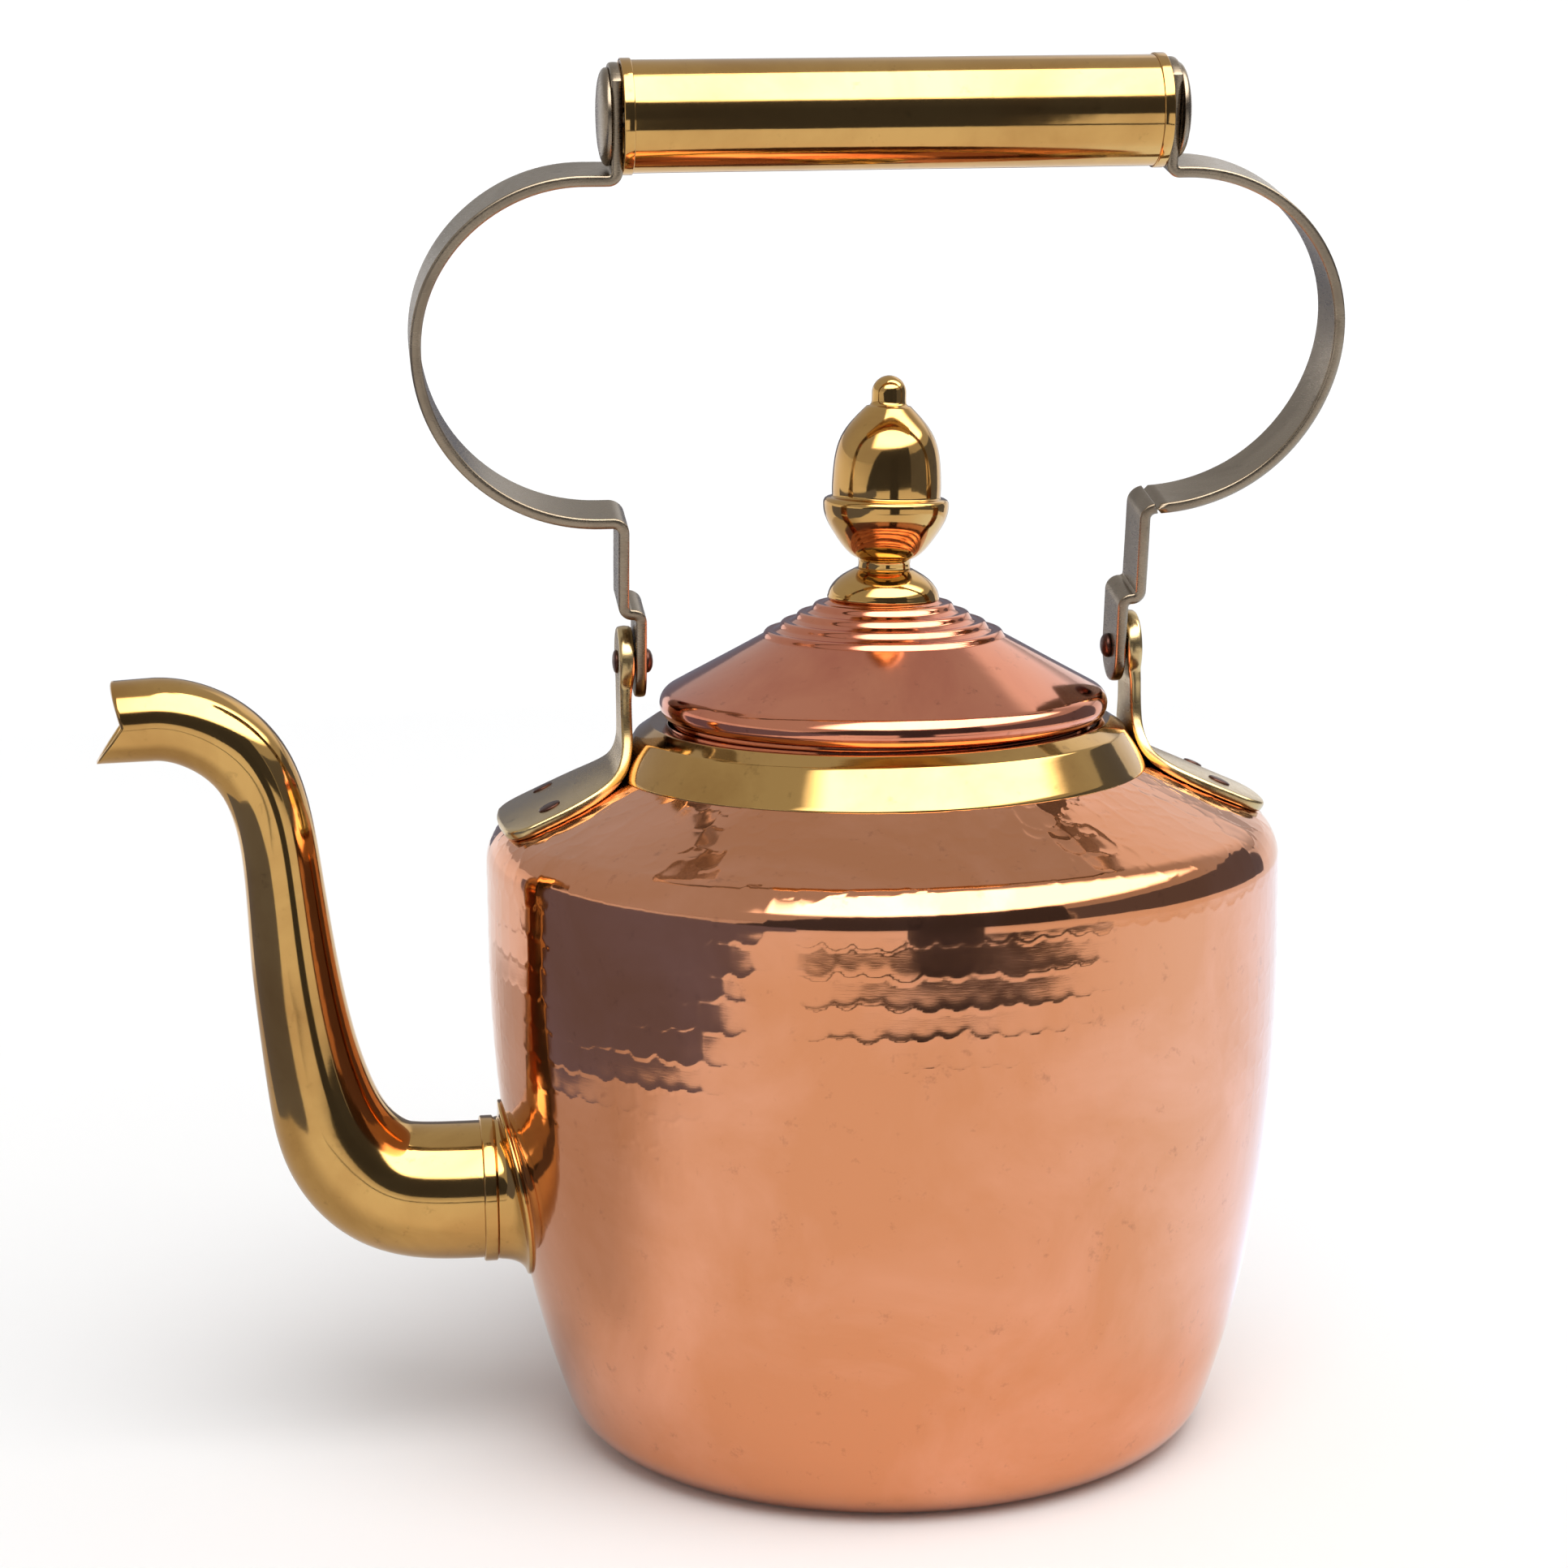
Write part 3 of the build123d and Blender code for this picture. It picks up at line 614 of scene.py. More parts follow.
def spout_tube():
    line = smooth_line(SPOUT_LINE, 14, start=(-1, 0, 0), end=(-1, 0.0, -0.01))
    pts = np.array(line)
    way = np.gradient(pts[:, :2], axis=0)
    way /= np.linalg.norm(way, axis=1)[:, None]
    ring = np.linspace(0, 2 * math.pi, 96, endpoint=False)
    skins = []
    for shrink in (0.0, SPOUT_WALL):
        rows = []
        for (x, z, r), (wx, wz) in zip(pts, way):
            up = np.array([-wz, 0, wx]) * -1
            across = np.array([0, 1.0, 0])
            dent = 0.03 * soft_dents(x * 2, r * np.sin(ring), z * 2)
            rows.append([np.array([x, 0, z]) + (r - shrink + d) * (up * math.sin(t) + across * math.cos(t))
                         for t, d in zip(ring, dent)])
        base = rows[-1]
        heights, reaches = zip(*sorted((z, x) for x, z in NOTCH))
        tip_r = SPOUT_LINE[-1][2] - 0.1 - shrink
        for share in np.linspace(0, 1, 15)[1:]:
            row = []
            for t, start in zip(ring, base):
                z_end = SPOUT_TIP_Z + tip_r * math.sin(t)
                x_end = float(np.interp(z_end, heights, reaches))
                end = np.array([x_end, tip_r * math.cos(t), z_end])
                row.append(start + (end - start) * share)
            rows.append(row)
        skins.append(rows)
    lip = (np.array(skins[0][-1]) + np.array(skins[1][-1])) / 2 + np.array([-0.4, 0, 0])
    rows = skins[0] + [lip] + skins[1][::-1]
    verts = np.array(rows).reshape(-1, 3)
    faces = grid_faces(len(rows), len(ring), wrap_rows=True, wrap_columns=True)
    build("spout_swan_neck", verts, faces, bright_brass, "kettle", ["spout_tube"])


def spout_collar():
    ring = np.linspace(0, 2 * math.pi, 120, endpoint=False)
    inside = SPOUT_ROOT_R + 0.02
    sleeve_r = SPOUT_COLLAR_R + 0.05
    corners = [(SPOUT_COLLAR_END_X, inside), (SPOUT_COLLAR_END_X, sleeve_r),
               (SPOUT_COLLAR_STEP_X - 0.4, sleeve_r), (SPOUT_COLLAR_STEP_X, SPOUT_COLLAR_R - 0.35),
               (SPOUT_COLLAR_STEP_X + 0.7, SPOUT_COLLAR_R - 0.2)]
    sleeve = rounded(corners, [0.4, 0.35, 0.25], 5)
    rows = [[(x, r)] * len(ring) for x, r in [(-78.0, inside)] + sleeve]
    start = Vector(sleeve[-1])

    def on_body(radius, t, off):
        """Place on the body's wall, a little off it, at a distance from the spout's axis."""
        y, z = radius * math.cos(t), SPOUT_Z + radius * math.sin(t)
        wall = wall_radius(z) + off
        return -math.sqrt(max(wall * wall - y * y, 0))

    for share in np.linspace(0, 1, 13)[1:]:
        row = []
        for t in ring:
            end = Vector((on_body(SPOUT_COLLAR_FLARE_R - 0.2, t, 0.75), SPOUT_COLLAR_FLARE_R - 0.2))
            bend = Vector((on_body(SPOUT_COLLAR_R + 0.6, t, 0.9), SPOUT_COLLAR_R + 0.1))
            row.append(tuple(start * (1 - share) ** 2 + bend * 2 * share * (1 - share) + end * share**2))
        rows.append(row)
    for grow, off in ((0, 0.55), (0.02, 0.25), (-0.1, -0.3)):
        radius = SPOUT_COLLAR_FLARE_R + grow
        rows.append([(on_body(radius, t, off), radius) for t in ring])
    rows.append([(on_body(inside, t, -0.5), inside) for t in ring])
    verts = [(x, r * math.cos(t), SPOUT_Z + r * math.sin(t)) for row in rows for (x, r), t in zip(row, ring)]
    faces = grid_faces(len(rows), len(ring), wrap_rows=True, wrap_columns=True)
    build("spout_root_sleeve", verts, faces, bright_brass, "kettle", ["spout_collar"])


EDGE_STEPS = (0.0, 0.03, 0.12, 0.3, 0.55, 0.85)


def plate_columns(half, edge, count):
    """Places across a strip from one edge to the other, close together near both edges."""
    rim = [min(step * edge, half * 0.5 * k / len(EDGE_STEPS)) for k, step in enumerate(EDGE_STEPS)]
    left = [-half + d for d in rim]
    if half > edge * 1.5:
        middle = np.linspace(-half + edge, half - edge, count)
    else:
        middle = np.linspace(left[-1], -left[-1], count + 2)[1:-1]
    return left + list(middle) + [-v for v in left[::-1]]


def plate(stations, halves, edge, count, place, thick):
    """Closed solid skin of a flat strip with rounded edges.

    stations are places u along it, halves its half-width at each, place(u, y, height) gives a point,
    and thick(u) the thickness there."""
    outline = list(zip(stations, halves)) + [(u, -h) for u, h in zip(stations[::-1], halves[::-1])]
    a = np.array(outline)
    b = np.roll(a, -1, axis=0)
    ab = b - a
    lengths = np.maximum((ab**2).sum(1), 1e-12)
    top, bottom = [], []
    for u, half in zip(stations, halves):
        for y in plate_columns(half, edge, count):
            p = np.array([u, y])
            share = np.clip(((p - a) * ab).sum(1) / lengths, 0, 1)
            off = float(np.linalg.norm(a + share[:, None] * ab - p, axis=1).min())
            k = 1 - min(off / edge, 1.0)
            rise = thick(u) / 2 * (1 - k**3) ** (1 / 2.2) if k < 1 else 0.0
            top.append(place(u, y, rise))
            bottom.append(place(u, y, -rise))
    columns = len(plate_columns(halves[0], edge, count))
    faces = grid_faces(len(stations), columns)
    size = len(top)
    return top + bottom, faces + [tuple(size + v for v in face[::-1]) for face in faces]


def along_line(points):
    """Lookup of (x, z, normal) by distance along a drawn line."""
    pts = np.array(points, float)
    steps = np.concatenate([[0], np.cumsum(np.linalg.norm(np.diff(pts, axis=0), axis=1))])
    way = np.gradient(pts, steps, axis=0)
    way /= np.linalg.norm(way, axis=1)[:, None]

    def at(u):
        x, z = np.interp(u, steps, pts[:, 0]), np.interp(u, steps, pts[:, 1])
        wx, wz = np.interp(u, steps, way[:, 0]), np.interp(u, steps, way[:, 1])
        size = math.hypot(wx, wz)
        return x, z, -wz / size, wx / size

    return at, steps


def round_end(length, radius, steps=14):
    """Places and half-widths of a round end that starts at 0."""
    turns = np.linspace(0, math.pi / 2, steps + 1)
    return [(length * (1 - math.cos(t)), radius * math.sin(t)) for t in turns]


def handle_lug(side):
    """Ear, stalk and flared foot, the stalk bending smoothly out onto the shoulder."""
    rise = LUG_THICK / 2 / math.cos(SLOPE)
    bend_z = shoulder_z(STALK_X) + rise
    foot_end = (FOOT_OUTER_R, shoulder_z(FOOT_OUTER_R) + rise)
    bent = rounded([(STALK_X, HINGE_Z + EAR_R), (STALK_X, bend_z), foot_end], [LUG_BEND_R], 14)
    at, steps = along_line(finer(bent, 1.2))
    total = steps[-1]
    ear_u = EAR_R
    bend_u = HINGE_Z + EAR_R - bend_z - LUG_BEND_R * math.tan((math.pi / 2 - SLOPE) / 2)
    corner_u = total - FOOT_CORNER_R
    flare = [(ear_u * 1.75, STALK_HALF + 0.15), (bend_u - 0.5, STALK_HALF + 1.2), (bend_u + 6.5, 12.2),
             (bend_u + 13, 16.6), (bend_u + 19, FOOT_OUTER_HALF), (corner_u, FOOT_OUTER_HALF)]
    widths = smooth_line(flare, 10, start=(1, 0.0), end=(1, 0.0))
    stations = round_end(EAR_R, EAR_R)
    for turn in np.linspace(0, 1, 7)[1:]:
        u = ear_u + (ear_u * 0.7) * turn
        stations.append((u, max(math.sqrt(max(EAR_R**2 - (u - ear_u) ** 2, 0)), STALK_HALF)))
    stations += [(u, h) for u, h in widths if u > stations[-1][0] + 0.4]
    for t in np.linspace(0, math.pi / 2, 9)[1:]:
        half = FOOT_OUTER_HALF - FOOT_CORNER_R * (1 - math.cos(t))
        stations.append((corner_u + FOOT_CORNER_R * math.sin(t), half))
    places, halves = zip(*stations)

    def thick(u):
        return LUG_THICK + (EAR_THICK - LUG_THICK) * (1 - ease(u, ear_u * 1.1, ear_u * 2.1))

    def place(u, y, height):
        x, z, nx, nz = at(u)
        ear = (thick(u) - LUG_THICK) / (EAR_THICK - LUG_THICK)
        x += (EAR_INNER_X + EAR_THICK / 2 - STALK_X) * ear
        on_cone = ease(u, bend_u, bend_u + 12)
        out_end = max(0.0, (u - bend_u - 14) / (total - bend_u - 14))
        x -= (FOOT_OUTER_R - math.sqrt(FOOT_OUTER_R**2 - y * y)) * out_end**2 * math.cos(SLOPE)
        spread = math.hypot(x, y)
        z = z * (1 - on_cone) + (shoulder_z(spread) + rise) * on_cone
        normal = Vector((nx, 0, nz)) if nz > 0 or abs(nx) > 0.5 else Vector((-nx, 0, -nz))
        if on_cone > 0:
            cone = Vector((x / spread * math.sin(SLOPE), y / spread * math.sin(SLOPE), math.cos(SLOPE)))
            normal = (normal * (1 - on_cone) + cone * on_cone).normalized()
        spot = Vector((x, y, z)) + normal * height
        return side * spot.x, spot.y, spot.z

    verts, faces = plate(places, halves, 0.8, 16, place, thick)
    name = SIDES[side]
    build(f"{name}_lug_casting", verts, faces, lug_brass, "kettle", [f"{name}_handle_lug"])


def domed_head(radius, thickness, steps=8):
    """Outline of a round rivet head, from its axis out and down to its foot."""
    turns = np.linspace(0, math.pi / 2, steps + 1)
    crown = [(radius * math.sin(t) ** 0.9, thickness * (0.25 + 0.75 * math.cos(t))) for t in turns]
    return crown + [(radius, 0.0)]


def lug_rivets(side):
    """Two rivets through a lug's foot, each hammered a little out of round."""
    shank_r = LUG_RIVET_HEAD_R * 0.7
    tail = [(shank_r, -1.0), (shank_r, -2.9), (LUG_RIVET_HEAD_R, -3.4),
            (LUG_RIVET_HEAD_R * 0.6, -3.9), (0, -4.0)]
    made, quads = lathe(domed_head(LUG_RIVET_HEAD_R, LUG_RIVET_HEAD_THICK) + tail, 32, closed=False)
    verts, faces = [], []
    x = side * LUG_RIVET_X
    for k, y in enumerate((-LUG_RIVET_Y, LUG_RIVET_Y)):
        radius = math.hypot(x, y)
        out = Vector((x / radius * math.sin(SLOPE), y / radius * math.sin(SLOPE), math.cos(SLOPE)))
        upright = out.to_track_quat("Z", "X").to_matrix()
        turn = upright @ Matrix.Rotation(0.7 * k, 3, "Z") @ Matrix.Diagonal((1.12, 0.94, 1))
        seat = Vector((x, y, shoulder_z(radius)))
        start = len(verts)
        verts += [tuple(turn @ Vector(v) + seat + out * LUG_THICK) for v in made]
        faces += [tuple(start + v for v in quad) for quad in quads]
    name = SIDES[side]
    build(f"{name}_lug_rivet_heads", verts, faces, dark_rivet, "kettle", [f"{name}_lug_rivets"])


def hinge_rivet(side):
    head_x = TAB_X - STRAP_THICK / 2 - 0.06
    tail_x = EAR_INNER_X + EAR_THICK
    head = [(r, head_x - h) for r, h in domed_head(PIN_HEAD_R, PIN_HEAD_THICK)]
    tail = [(r, tail_x + h) for r, h in domed_head(PIN_TAIL_R, PIN_TAIL_THICK)][::-1]
    outline = head + [(PIN_R, head_x), (PIN_R, tail_x)] + tail
    verts, faces = lathe(outline, 40, closed=False)
    verts = turned(verts) * (side, 1, 1) + (0, 0, HINGE_Z)
    name = SIDES[side]
    build(f"{name}_hinge_rivet_round", verts, faces, dark_rivet, "kettle",
          [f"{name}_hinge_rivet"])


# ------------------------------------------------------------ handle pieces

ON_HANDLE = Matrix.Translation((0, 0, HINGE_Z)) @ Matrix.Rotation(HANDLE_LEAN, 4, "X")


def strap_line(side):
    """Centre line of a strap as (distance out, height above the hinge)."""
    out_x = LOOP_OUT_X[side]
    lower_r, upper_r = LOOP_MIDDLE - LOOP_BOTTOM, LOOP_TOP - LOOP_MIDDLE
    end_x = GRIP_HALF + STRAP_THICK / 2
    root = rounded([(TAB_X, TAB_END), (TAB_X, JOGGLE), (UPRIGHT_X, JOGGLE), (UPRIGHT_X, LOOP_BOTTOM),
                    (out_x - lower_r, LOOP_BOTTOM)], [TIGHT_BEND, TIGHT_BEND, CORNER_BEND])
    lower = arc((out_x - lower_r, LOOP_MIDDLE), lower_r, -90, 0, 36)
    upper = arc((out_x - upper_r, LOOP_MIDDLE), upper_r, 0, 90, 36)
    tip = rounded([upper[-1], (end_x, LOOP_TOP), (end_x, GRIP_UP + END_PLATE_R)], [TIGHT_BEND])
    return finer(root[:-1] + lower + upper[1:-1] + tip, 2.2)


# Length of strap at its top end that follows the grip's round
TIP_RUN = 4.5


def handle_strap(side):
    """Bent strap with a round lower end; its top end is rounded to match the grip."""
    at, steps = along_line(strap_line(side))
    total = steps[-1]
    half = STRAP_WIDTH / 2
    stations = round_end(half, half)
    stations += [(u, half) for u in steps if half + 0.8 < u < total - TIP_RUN]
    for off in (0.0, 0.04, 0.12, 0.3, 0.55, 0.9, 1.6, 2.4, 3.4)[::-1]:
        stations.append((total - off, half))

    def place(u, y, height):
        x, z, nx, nz = at(u)
        near_tip = max(0.0, 1 - (total - u) / TIP_RUN)
        drop = (END_PLATE_R - math.sqrt(END_PLATE_R**2 - y * y)) * near_tip
        wave = 0.05 * soft_dents(u * 1.5, side * 30, 10)
        return side * (x + nx * (height + wave)), y, z + nz * (height + wave) - drop

    places, halves = zip(*stations)
    verts, faces = plate(places, halves, 0.55, 8, place, lambda u: STRAP_THICK)
    name = SIDES[side]
    build(f"{name}_strap_bent", verts, faces, strap_brass, "handle",
          [f"{name}_handle_strap"], ON_HANDLE)


def on_grip(outline, segments, name, material, replaced, side=1, relief=None, closed=True):
    """Turn an (r, x) outline about the grip's axis."""
    verts, faces = lathe(outline, segments, relief, closed)
    verts = turned(verts) * (side, 1, 1) + (0, 0, GRIP_UP)
    build(name, verts, faces, material, "handle", replaced, ON_HANDLE)


def grip_tube():
    end = GRIP_HALF - 0.02
    outer = finer([(GRIP_R - 0.2, -end), (GRIP_R, -end + 0.2), (GRIP_R, end - 0.2), (GRIP_R - 0.2, end)], 2.0)
    inner = finer([(GRIP_R - GRIP_WALL, end), (GRIP_R - GRIP_WALL, -end)], 12)

    def dents(r, z, turn):
        return 0.025 * soft_dents(z, r * np.cos(turn), r * np.sin(turn)) * (r > GRIP_R - 0.1)

    on_grip(outer + inner, 128, "grip_tube_polished", bright_brass, ["grip_tube"], relief=dents)


def grip_ferrule(side):
    low, high = GRIP_HALF - FERRULE_LENGTH, GRIP_HALF
    crown = GRIP_R + FERRULE_RISE
    outline = rounded([(GRIP_R, low), (crown, low), (crown, high), (GRIP_R, high)], [0.25, 0.25], 5)
    name = SIDES[side]
    on_grip(outline, 96, f"{name}_ferrule_ring", bright_brass, [f"{name}_grip_ferrule"], side)


def grip_cap(side):
    """Low dome over the end of the grip."""
    start = GRIP_HALF + STRAP_THICK
    crown = CAP_EDGE + CAP_DOME - CAP_BEVEL
    dome = []
    for t in np.linspace(math.pi / 2, 0, 14):
        reach = CAP_R * math.sin(t) ** 0.75 if t > 0 else 0.0
        dome.append((reach, start + CAP_BEVEL + crown * math.cos(t) ** 0.8))
    outline = [(0, start), (CAP_R * 0.5, start), (CAP_R - 0.2, start), (CAP_R, start + 0.18)] + dome
    name = SIDES[side]
    on_grip(outline, 96, f"{name}_cap_domed", strap_brass, [f"{name}_grip_cap"],
            side, closed=False)


# --------------------------------------------------------------- lid pieces

# The loose lid sits a little to one side and tipped up on the left, with its finial leaning a little
LID_SHIFT = 0.8
LID_TIP = math.radians(0.6)
FINIAL_LEAN = math.radians(1.6)
LID_PIVOT = Matrix.Translation((LID_R, 0, LID_BEAD_Z - LID_BEAD_R))
FINIAL_PIVOT = Matrix.Translation((0, 0, LID_LAND_Z - 1))
ON_LID = (Matrix.Translation((LID_SHIFT, 0, 0)) @ LID_PIVOT @ Matrix.Rotation(LID_TIP, 4, "Y")
          @ LID_PIVOT.inverted())
ON_FINIAL = ON_LID @ FINIAL_PIVOT @ Matrix.Rotation(FINIAL_LEAN, 4, "Y") @ FINIAL_PIVOT.inverted()


def lid_cone():
    """Place where the cone meets the rolled edge, and the cone's slope."""
    roll_x = LID_R - LID_ROLL_R
    slope = math.atan2(LID_LAND_Z - LID_ROLL_Z, roll_x - LID_LAND_R)
    for _ in range(8):
        touch = (roll_x + LID_ROLL_R * math.sin(slope), LID_ROLL_Z + LID_ROLL_R * math.cos(slope))
        slope = math.atan2(LID_LAND_Z - touch[1], touch[0] - LID_LAND_R)
    return touch, slope


def lid_cone_z(radius):
    return LID_LAND_Z - (radius - LID_LAND_R) * math.tan(lid_cone()[1])


def lid_cover():
    touch, slope = lid_cone()
    normal = (math.sin(slope), math.cos(slope))
    last_ridge = RIDGE_FIRST_R + (RIDGE_COUNT - 1) * RIDGE_STEP

    def lifted(radius):
        """Height above the plain cone of the stepped rings."""
        phase = (radius - RIDGE_FIRST_R) / RIDGE_STEP
        k = round(phase)
        if not 0 <= k < RIDGE_COUNT:
            return 0.0
        off = abs(phase - k) * RIDGE_STEP / RIDGE_HALF
        return RIDGE_RISE * math.cos(min(off, 1) * math.pi / 2) ** 1.4 if off < 1 else 0.0

    top = [(STUD_R, LID_LAND_Z), (LID_LAND_R - 0.5, LID_LAND_Z), (LID_LAND_R, LID_LAND_Z - 0.1)]
    cone = []
    ridged = np.arange(LID_LAND_R + 0.4, last_ridge + 2, 0.18)
    plain = np.arange(last_ridge + 2, touch[0], 1.2)
    for radius in [*ridged, *plain]:
        lift = lifted(radius)
        cone.append((radius + normal[0] * lift, lid_cone_z(radius) + normal[1] * lift))
    roll_x, foot_z = LID_R - LID_ROLL_R, LID_BEAD_Z - LID_BEAD_R
    end_deg = math.degrees(math.asin((foot_z + 0.3 - LID_ROLL_Z) / LID_ROLL_R))
    roll = arc((roll_x, LID_ROLL_Z), LID_ROLL_R, 90 - math.degrees(slope), end_deg, 34)
    bead_x = LID_R - LID_BEAD_R
    roll += [(roll[-1][0] - 0.25, foot_z + 0.06), (roll[-1][0] - 0.6, foot_z), (bead_x - 1.2, foot_z)]
    plug_slope = (LID_LAND_Z - LID_BEAD_Z - LID_BEAD_R) / (bead_x - LID_LAND_R)
    under = [(r, LID_LAND_Z - LID_SHEET * 1.1 - (r - LID_LAND_R) * plug_slope)
             for r in np.linspace(bead_x - 1.5, LID_LAND_R, 14)]
    land = [(LID_LAND_R - 0.5, LID_LAND_Z - LID_SHEET), (STUD_R, LID_LAND_Z - LID_SHEET)]
    outline = top + cone + roll + under + land

    def beaten(r, z, turn):
        x, y = r * np.cos(turn), r * np.sin(turn)
        fade = np.clip((LID_R - 2 - r) / 4, 0, 1) * np.clip((r - LID_LAND_R) / 8, 0, 1)
        return (0.07 * soft_dents(x * 1.8, y * 1.8, z + 9) + 0.012 * small_dents(x, y, z)) * fade

    verts, faces = lathe(outline, 320, beaten)
    build("lid_cover_spun", verts, faces, lid_copper, "lid", ["lid_cover"], ON_LID)


def finial_acorn():
    cup = smooth_line([(STEM_R, CUP_FOOT_Z), (CUP_R * 0.8, CUP_RIM_Z - 6.2), (CUP_R, CUP_RIM_Z)], 12,
                      start=(0.93, 0.37), end=(0.0, 1.0))
    rim = [(CUP_R + 0.02, CUP_RIM_Z + 0.35), (CUP_R - 0.05, CUP_RIM_Z + 0.8),
           (CUP_R - 0.3, CUP_RIM_Z + 1.25), (CUP_R - 0.8, CUP_RIM_Z + 1.55),
           (ACORN_R + 0.55, ACORN_FOOT_Z - 0.4), (ACORN_R + 0.15, ACORN_FOOT_Z - 0.25)]
    nut = smooth_line([(ACORN_R, ACORN_FOOT_Z), (ACORN_R, ACORN_WIDE_Z), (ACORN_R * 0.86, NIB_FOOT_Z - 6.5),
                       (NIB_R + 1.0, NIB_FOOT_Z - 0.2)], 14, start=(0.08, 1.0))
    dome_z = NIB_TOP_Z - NIB_R
    nib = [(NIB_R + 0.45, NIB_FOOT_Z - 0.1), (NIB_R + 0.1, NIB_FOOT_Z + 0.35), (NIB_R, NIB_FOOT_Z + 0.9)]
    nib += arc((0, dome_z), NIB_R, 0, 90, 12)[:-1]
    stem = [(0, LID_LAND_Z - 4), (STUD_R, LID_LAND_Z - 4), (STUD_R, FOOT_TOP_Z - 0.5),
            (STEM_R - 0.3, FOOT_TOP_Z - 0.5), (STEM_R, FOOT_TOP_Z), (STEM_R - 0.15, FOOT_TOP_Z + 1)]
    outline = stem + cup + rim + nut + nib + [(0, NIB_TOP_Z)]
    verts, faces = lathe(outline, 144, closed=False)
    build("finial_acorn_turned", verts, faces, bright_brass, "lid", ["finial_acorn"], ON_FINIAL)


def finial_foot():
    edge_z = lid_cone_z(FOOT_R)
    knots = [(FOOT_R, edge_z + FOOT_EDGE), (FOOT_R * 0.82, edge_z + 4.2), (FOOT_TOP_R, FOOT_TOP_Z)]
    side = smooth_line(knots, 12, start=(-0.15, 1.0))
    skirt = [(STUD_R, FOOT_TOP_Z - 0.4), (FOOT_TOP_R - 0.5, FOOT_TOP_Z - 0.1)]
    rim = [(FOOT_R + 0.15, edge_z + FOOT_EDGE * 0.6), (FOOT_R + 0.1, edge_z + 0.2),
           (FOOT_R - 0.2, edge_z - 0.1)]
    outline = skirt + side[::-1] + rim + [(LID_LAND_R - 0.2, LID_LAND_Z + 0.05), (STUD_R, LID_LAND_Z + 0.05)]
    verts, faces = lathe(outline, 144)
    build("finial_foot_domed", verts, faces, bright_brass, "lid", ["finial_foot"], ON_FINIAL)


def carry_over(node, material):
    """A CAD node that stays as it is, with a finished material."""
    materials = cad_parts[node].data.materials
    if len(materials) == 0:
        materials.append(material)
    for index in range(len(materials)):
        materials[index] = material


body_shell()
base_plate()
neck_collar()
spout_tube()
spout_collar()
grip_tube()
lid_cover()
finial_acorn()
finial_foot()
for side in (-1, 1):
    handle_lug(side)
    lug_rivets(side)
    hinge_rivet(side)
    handle_strap(side)
    grip_ferrule(side)
    grip_cap(side)
carry_over("lid_plug", lid_copper)
carry_over("finial_washer", bright_brass)
carry_over("finial_nut", bright_brass)
carry_over("grip_tie_rod", steel)


# ------------------------------------------------------- floor, light, camera

def plain_material(name, colour, roughness):
    material, shader, _, _ = make_material(name)
    shader.inputs["Metallic"].default_value = 0.0
    shader.inputs["Base Color"].default_value = (*colour, 1.0)
    shader.inputs["Roughness"].default_value = roughness
    shader.inputs["Specular IOR Level"].default_value = 0.2
    return material


def sheet_object(name, verts, faces, material):
    mesh = bpy.data.meshes.new(name)
    mesh.from_pydata(verts, [], faces)
    mesh.materials.append(material)
    made = add_object(name, mesh)
    return made


def add_floor():
    """Pale round floor that sweeps up at its far edge."""
    profile = [(0.0, 0.0), (0.5, 0.0), (2.2, 0.0)] + [
        (2.2 + 0.8 * math.sin(t), 0.8 - 0.8 * math.cos(t)) for t in np.linspace(0.15, math.pi / 2, 10)]
    verts, faces = lathe(profile, 96, closed=False)
    pale = plain_material("pale_floor", (0.88, 0.88, 0.88), 0.7)
    floor = sheet_object("studio_floor", verts.tolist(), faces, pale)
    for polygon in floor.data.polygons:
        polygon.use_smooth = True


def direction(azimuth, elevation):
    """Unit vector; azimuth runs from -Y towards +X, in degrees."""
    a, e = math.radians(azimuth), math.radians(elevation)
    return Vector((math.sin(a) * math.cos(e), -math.cos(a) * math.cos(e), math.sin(e)))


def glow_material(name, colour, strength, edge_attribute=None):
    """Even emission, or one that fades with an attribute of the mesh."""
    material = bpy.data.materials.new(name)
    material.use_nodes = True
    tree = material.node_tree
    tree.nodes.clear()
    out = tree.nodes.new("ShaderNodeOutputMaterial")
    glow = tree.nodes.new("ShaderNodeEmission")
    glow.inputs["Color"].default_value = (*colour, 1.0)
    glow.inputs["Strength"].default_value = strength
    tree.links.new(glow.outputs["Emission"], out.inputs["Surface"])
    if edge_attribute:
        clear = tree.nodes.new("ShaderNodeBsdfTransparent")
        mix = tree.nodes.new("ShaderNodeMixShader")
        fade = tree.nodes.new("ShaderNodeAttribute")
        fade.attribute_name = edge_attribute
        tree.links.new(fade.outputs["Fac"], mix.inputs["Fac"])
        tree.links.new(clear.outputs["BSDF"], mix.inputs[1])
        tree.links.new(glow.outputs["Emission"], mix.inputs[2])
        tree.links.new(mix.outputs["Shader"], out.inputs["Surface"])
    return material


def hide_from(made, *rays):
    """Keep an object out of what some kinds of ray meet."""
    for ray in rays:
        setattr(made, f"visible_{ray}", False)


def reflection_only(made):
    hide_from(made, "camera", "diffuse", "shadow", "transmission")


PATCH_STEPS = 24
PATCH_REACH = 1.5
MAT_LIFT = Vector((0, 0, 0.0015))
KETTLE_MIDDLE = Vector((0, 0, 0.15))


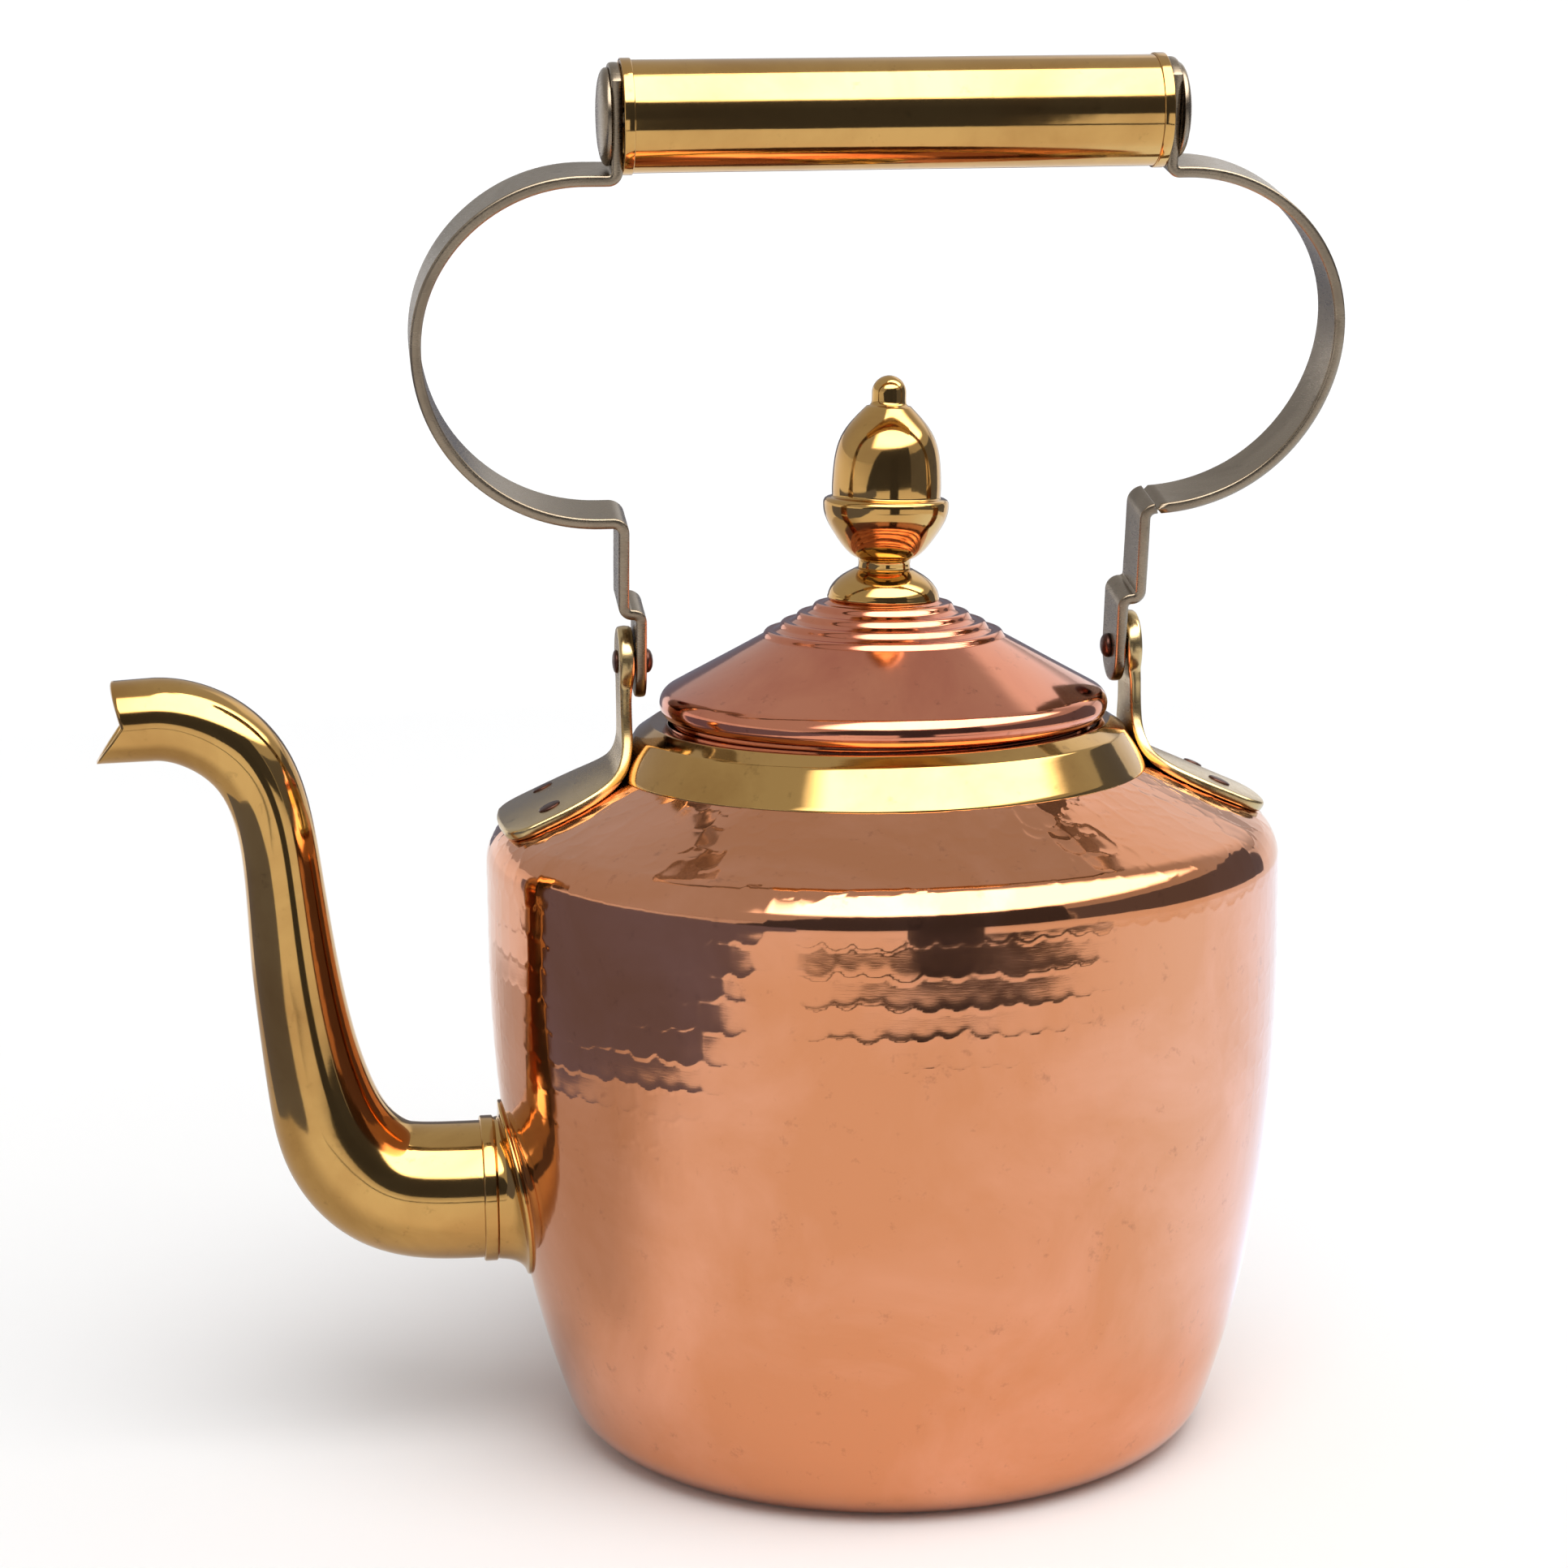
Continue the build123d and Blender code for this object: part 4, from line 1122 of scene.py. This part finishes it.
def add_soft_card(name, place, firsts, seconds, softs, colour, strength):
    """Grid of place(first, second) points whose edges fade away, seen only in reflections."""
    verts, fades = [], []
    for second in np.linspace(*seconds, PATCH_STEPS):
        for first in np.linspace(*firsts, PATCH_STEPS):
            verts.append(tuple(place(first, second)))
            edge_a = min(first - firsts[0], firsts[1] - first) / softs[0]
            edge_b = min(second - seconds[0], seconds[1] - second) / softs[1]
            fades.append(float(ease(min(edge_a, edge_b), 0, 1)))
    faces = grid_faces(PATCH_STEPS, PATCH_STEPS)
    made = sheet_object(name, verts, faces, glow_material(name + "_glow", colour, strength, "fade"))
    made.data.attributes.new("fade", "FLOAT", "POINT").data.foreach_set("value", fades)
    reflection_only(made)


def add_patch(name, azimuths, elevations, soft, colour, strength):
    """Part of a sphere round the kettle."""
    add_soft_card(name, lambda a, e: KETTLE_MIDDLE + direction(a, e) * PATCH_REACH,
                  azimuths, elevations, (soft, soft * 0.35), colour, strength)


def add_mat(name, azimuths, reaches, softs, colour, strength):
    """Part of a ring lying just above the floor."""
    add_soft_card(name, lambda a, reach: direction(a, 0) * reach + MAT_LIFT,
                  azimuths, reaches, softs, colour, strength)


def add_wall(name, colour, strength, plan):
    """Upright card through (azimuth, distance, foot height, head height) points, seen only in reflections."""
    spots = [direction(a, 0) * d for a, d, _, _ in plan]
    verts = [(p.x, p.y, foot) for p, (_, _, foot, _) in zip(spots, plan)]
    verts += [(p.x, p.y, head) for p, (_, _, _, head) in zip(spots, plan)]
    tone = glow_material(name + "_tone", colour, strength)
    made = sheet_object(name, verts, grid_faces(2, len(plan)), tone)
    reflection_only(made)


def add_backdrop():
    """White dome behind everything, seen only by the camera."""
    profile = [(3.1 * math.cos(t), 3.1 * math.sin(t)) for t in np.linspace(-0.1, math.pi / 2, 16)]
    verts, faces = lathe(profile, 64, closed=False)
    white = glow_material("backdrop_white", (1, 1, 1), 1.0)
    dome = sheet_object("studio_backdrop", verts.tolist(), faces, white)
    hide_from(dome, "diffuse", "glossy", "shadow", "transmission")


def add_sun():
    """Wide soft overhead light for the even floor and its soft shadow."""
    data = bpy.data.lights.new("overhead_soft", "SUN")
    data.energy = 2.1
    data.angle = math.radians(50)
    lamp = add_object("overhead_soft", data)
    lamp.rotation_euler = direction(20, 62).to_track_quat("Z", "Y").to_euler()
    hide_from(lamp, "glossy")


def add_world():
    world = bpy.data.worlds.new("studio_world")
    bpy.context.scene.world = world
    world.use_nodes = True
    background = world.node_tree.nodes["Background"]
    background.inputs["Color"].default_value = (1, 1, 1, 1)
    background.inputs["Strength"].default_value = 0.55


CAMERA_DISTANCE = 0.6999
CAMERA_PITCH = math.radians(10.27)
CAMERA_YAW = math.atan2(0.1305, 0.991)
CAMERA_ROLL = math.radians(0.85)
CAMERA_AIM_SIDE = -0.0199
CAMERA_AIM_Z = 0.1360


def add_camera():
    data = bpy.data.cameras.new("main_camera")
    data.lens = 77.4
    data.sensor_width = 36.0
    data.clip_start = 0.02
    camera = add_object("main_camera", data)
    right = Vector((math.cos(CAMERA_YAW), -math.sin(CAMERA_YAW), 0))
    level = Vector((math.sin(CAMERA_YAW), math.cos(CAMERA_YAW), 0))
    ahead = level * math.cos(CAMERA_PITCH) - Vector((0, 0, 1)) * math.sin(CAMERA_PITCH)
    up = right.cross(ahead)
    aim = right * CAMERA_AIM_SIDE + Vector((0, 0, CAMERA_AIM_Z))
    turn = Matrix((right, up, -ahead)).transposed() @ Matrix.Rotation(-CAMERA_ROLL, 3, "Z")
    camera.matrix_world = Matrix.Translation(aim - ahead * CAMERA_DISTANCE) @ turn.to_4x4()
    bpy.context.scene.camera = camera


add_floor()
add_backdrop()
add_world()
add_camera()
add_sun()
add_patch("softbox_front", (-50, 112), (30, 89), 15, (1.0, 0.99, 0.96), 6.5)
add_patch("light_back_right", (120, 172), (14, 48), 18, (1.0, 1.0, 1.0), 1.1)
add_mat("bright_mat_right", (25, 170), (0.088, 0.64), (60, 0.04), (0.70, 0.82, 1.0), 1.7)
add_mat("dim_mat_left", (-165, -58), (0.088, 0.5), (26, 0.05), (1.0, 0.93, 0.86), 0.62)
ROOM = (0.75, 0.8, 1.0)
add_wall("dark_room", ROOM, 0.09, [
    (44, 1.2, 0.12, 0.85), (20, 1.2, 0.12, 0.85), (-4, 1.2, 0.12, 0.85), (-22, 1.2, 0.12, 0.80),
    (-34, 1.2, 0.12, 0.56), (-44, 1.2, 0.12, 0.32), (-52, 1.2, 0.12, 0.2)])
add_wall("dark_stand", ROOM, 0.08, [
    (16, 0.52, 0, 0.33), (12, 0.518, 0, 0.38), (2, 0.516, 0, 0.38), (-2, 0.52, 0, 0.32)])
add_wall("dark_low", ROOM, 0.09, [
    (54, 0.62, 0, 0.003), (44, 0.565, 0, 0.012), (33, 0.53, 0, 0.022), (17, 0.516, 0, 0.034),
    (-3, 0.516, 0, 0.02), (-13, 0.528, 0, 0.014), (-22, 0.555, 0, 0.010), (-30, 0.61, 0, 0.003)])
add_wall("dark_room_right", ROOM, 0.2, [
    (126, 0.9, 0, 0.5), (100, 0.95, 0, 0.5), (60, 0.95, 0.08, 0.5), (44, 0.95, 0.1, 0.5)])
add_wall("dark_room_left", (0.62, 0.68, 1.0), 0.3, [
    (-30, 1.0, 0.05, 0.17), (-38, 0.8, 0.03, 0.17), (-44, 0.6, 0, 0.17), (-48, 0.54, 0, 0.17),
    (-55, 0.40, 0, 0.17), (-60, 0.36, 0, 0.17), (-82, 0.336, 0, 0.17), (-105, 0.303, 0, 0.17),
    (-118, 0.42, 0, 0.17), (-126, 0.60, 0, 0.17)])
add_wall("dark_behind", ROOM, 0.25, [(158, 1.0, 0, 0.4), (180, 1.0, 0, 0.4), (196, 1.0, 0, 0.4)])
bpy.context.scene.view_settings.view_transform = "Standard"
bpy.context.scene.view_settings.look = "None"
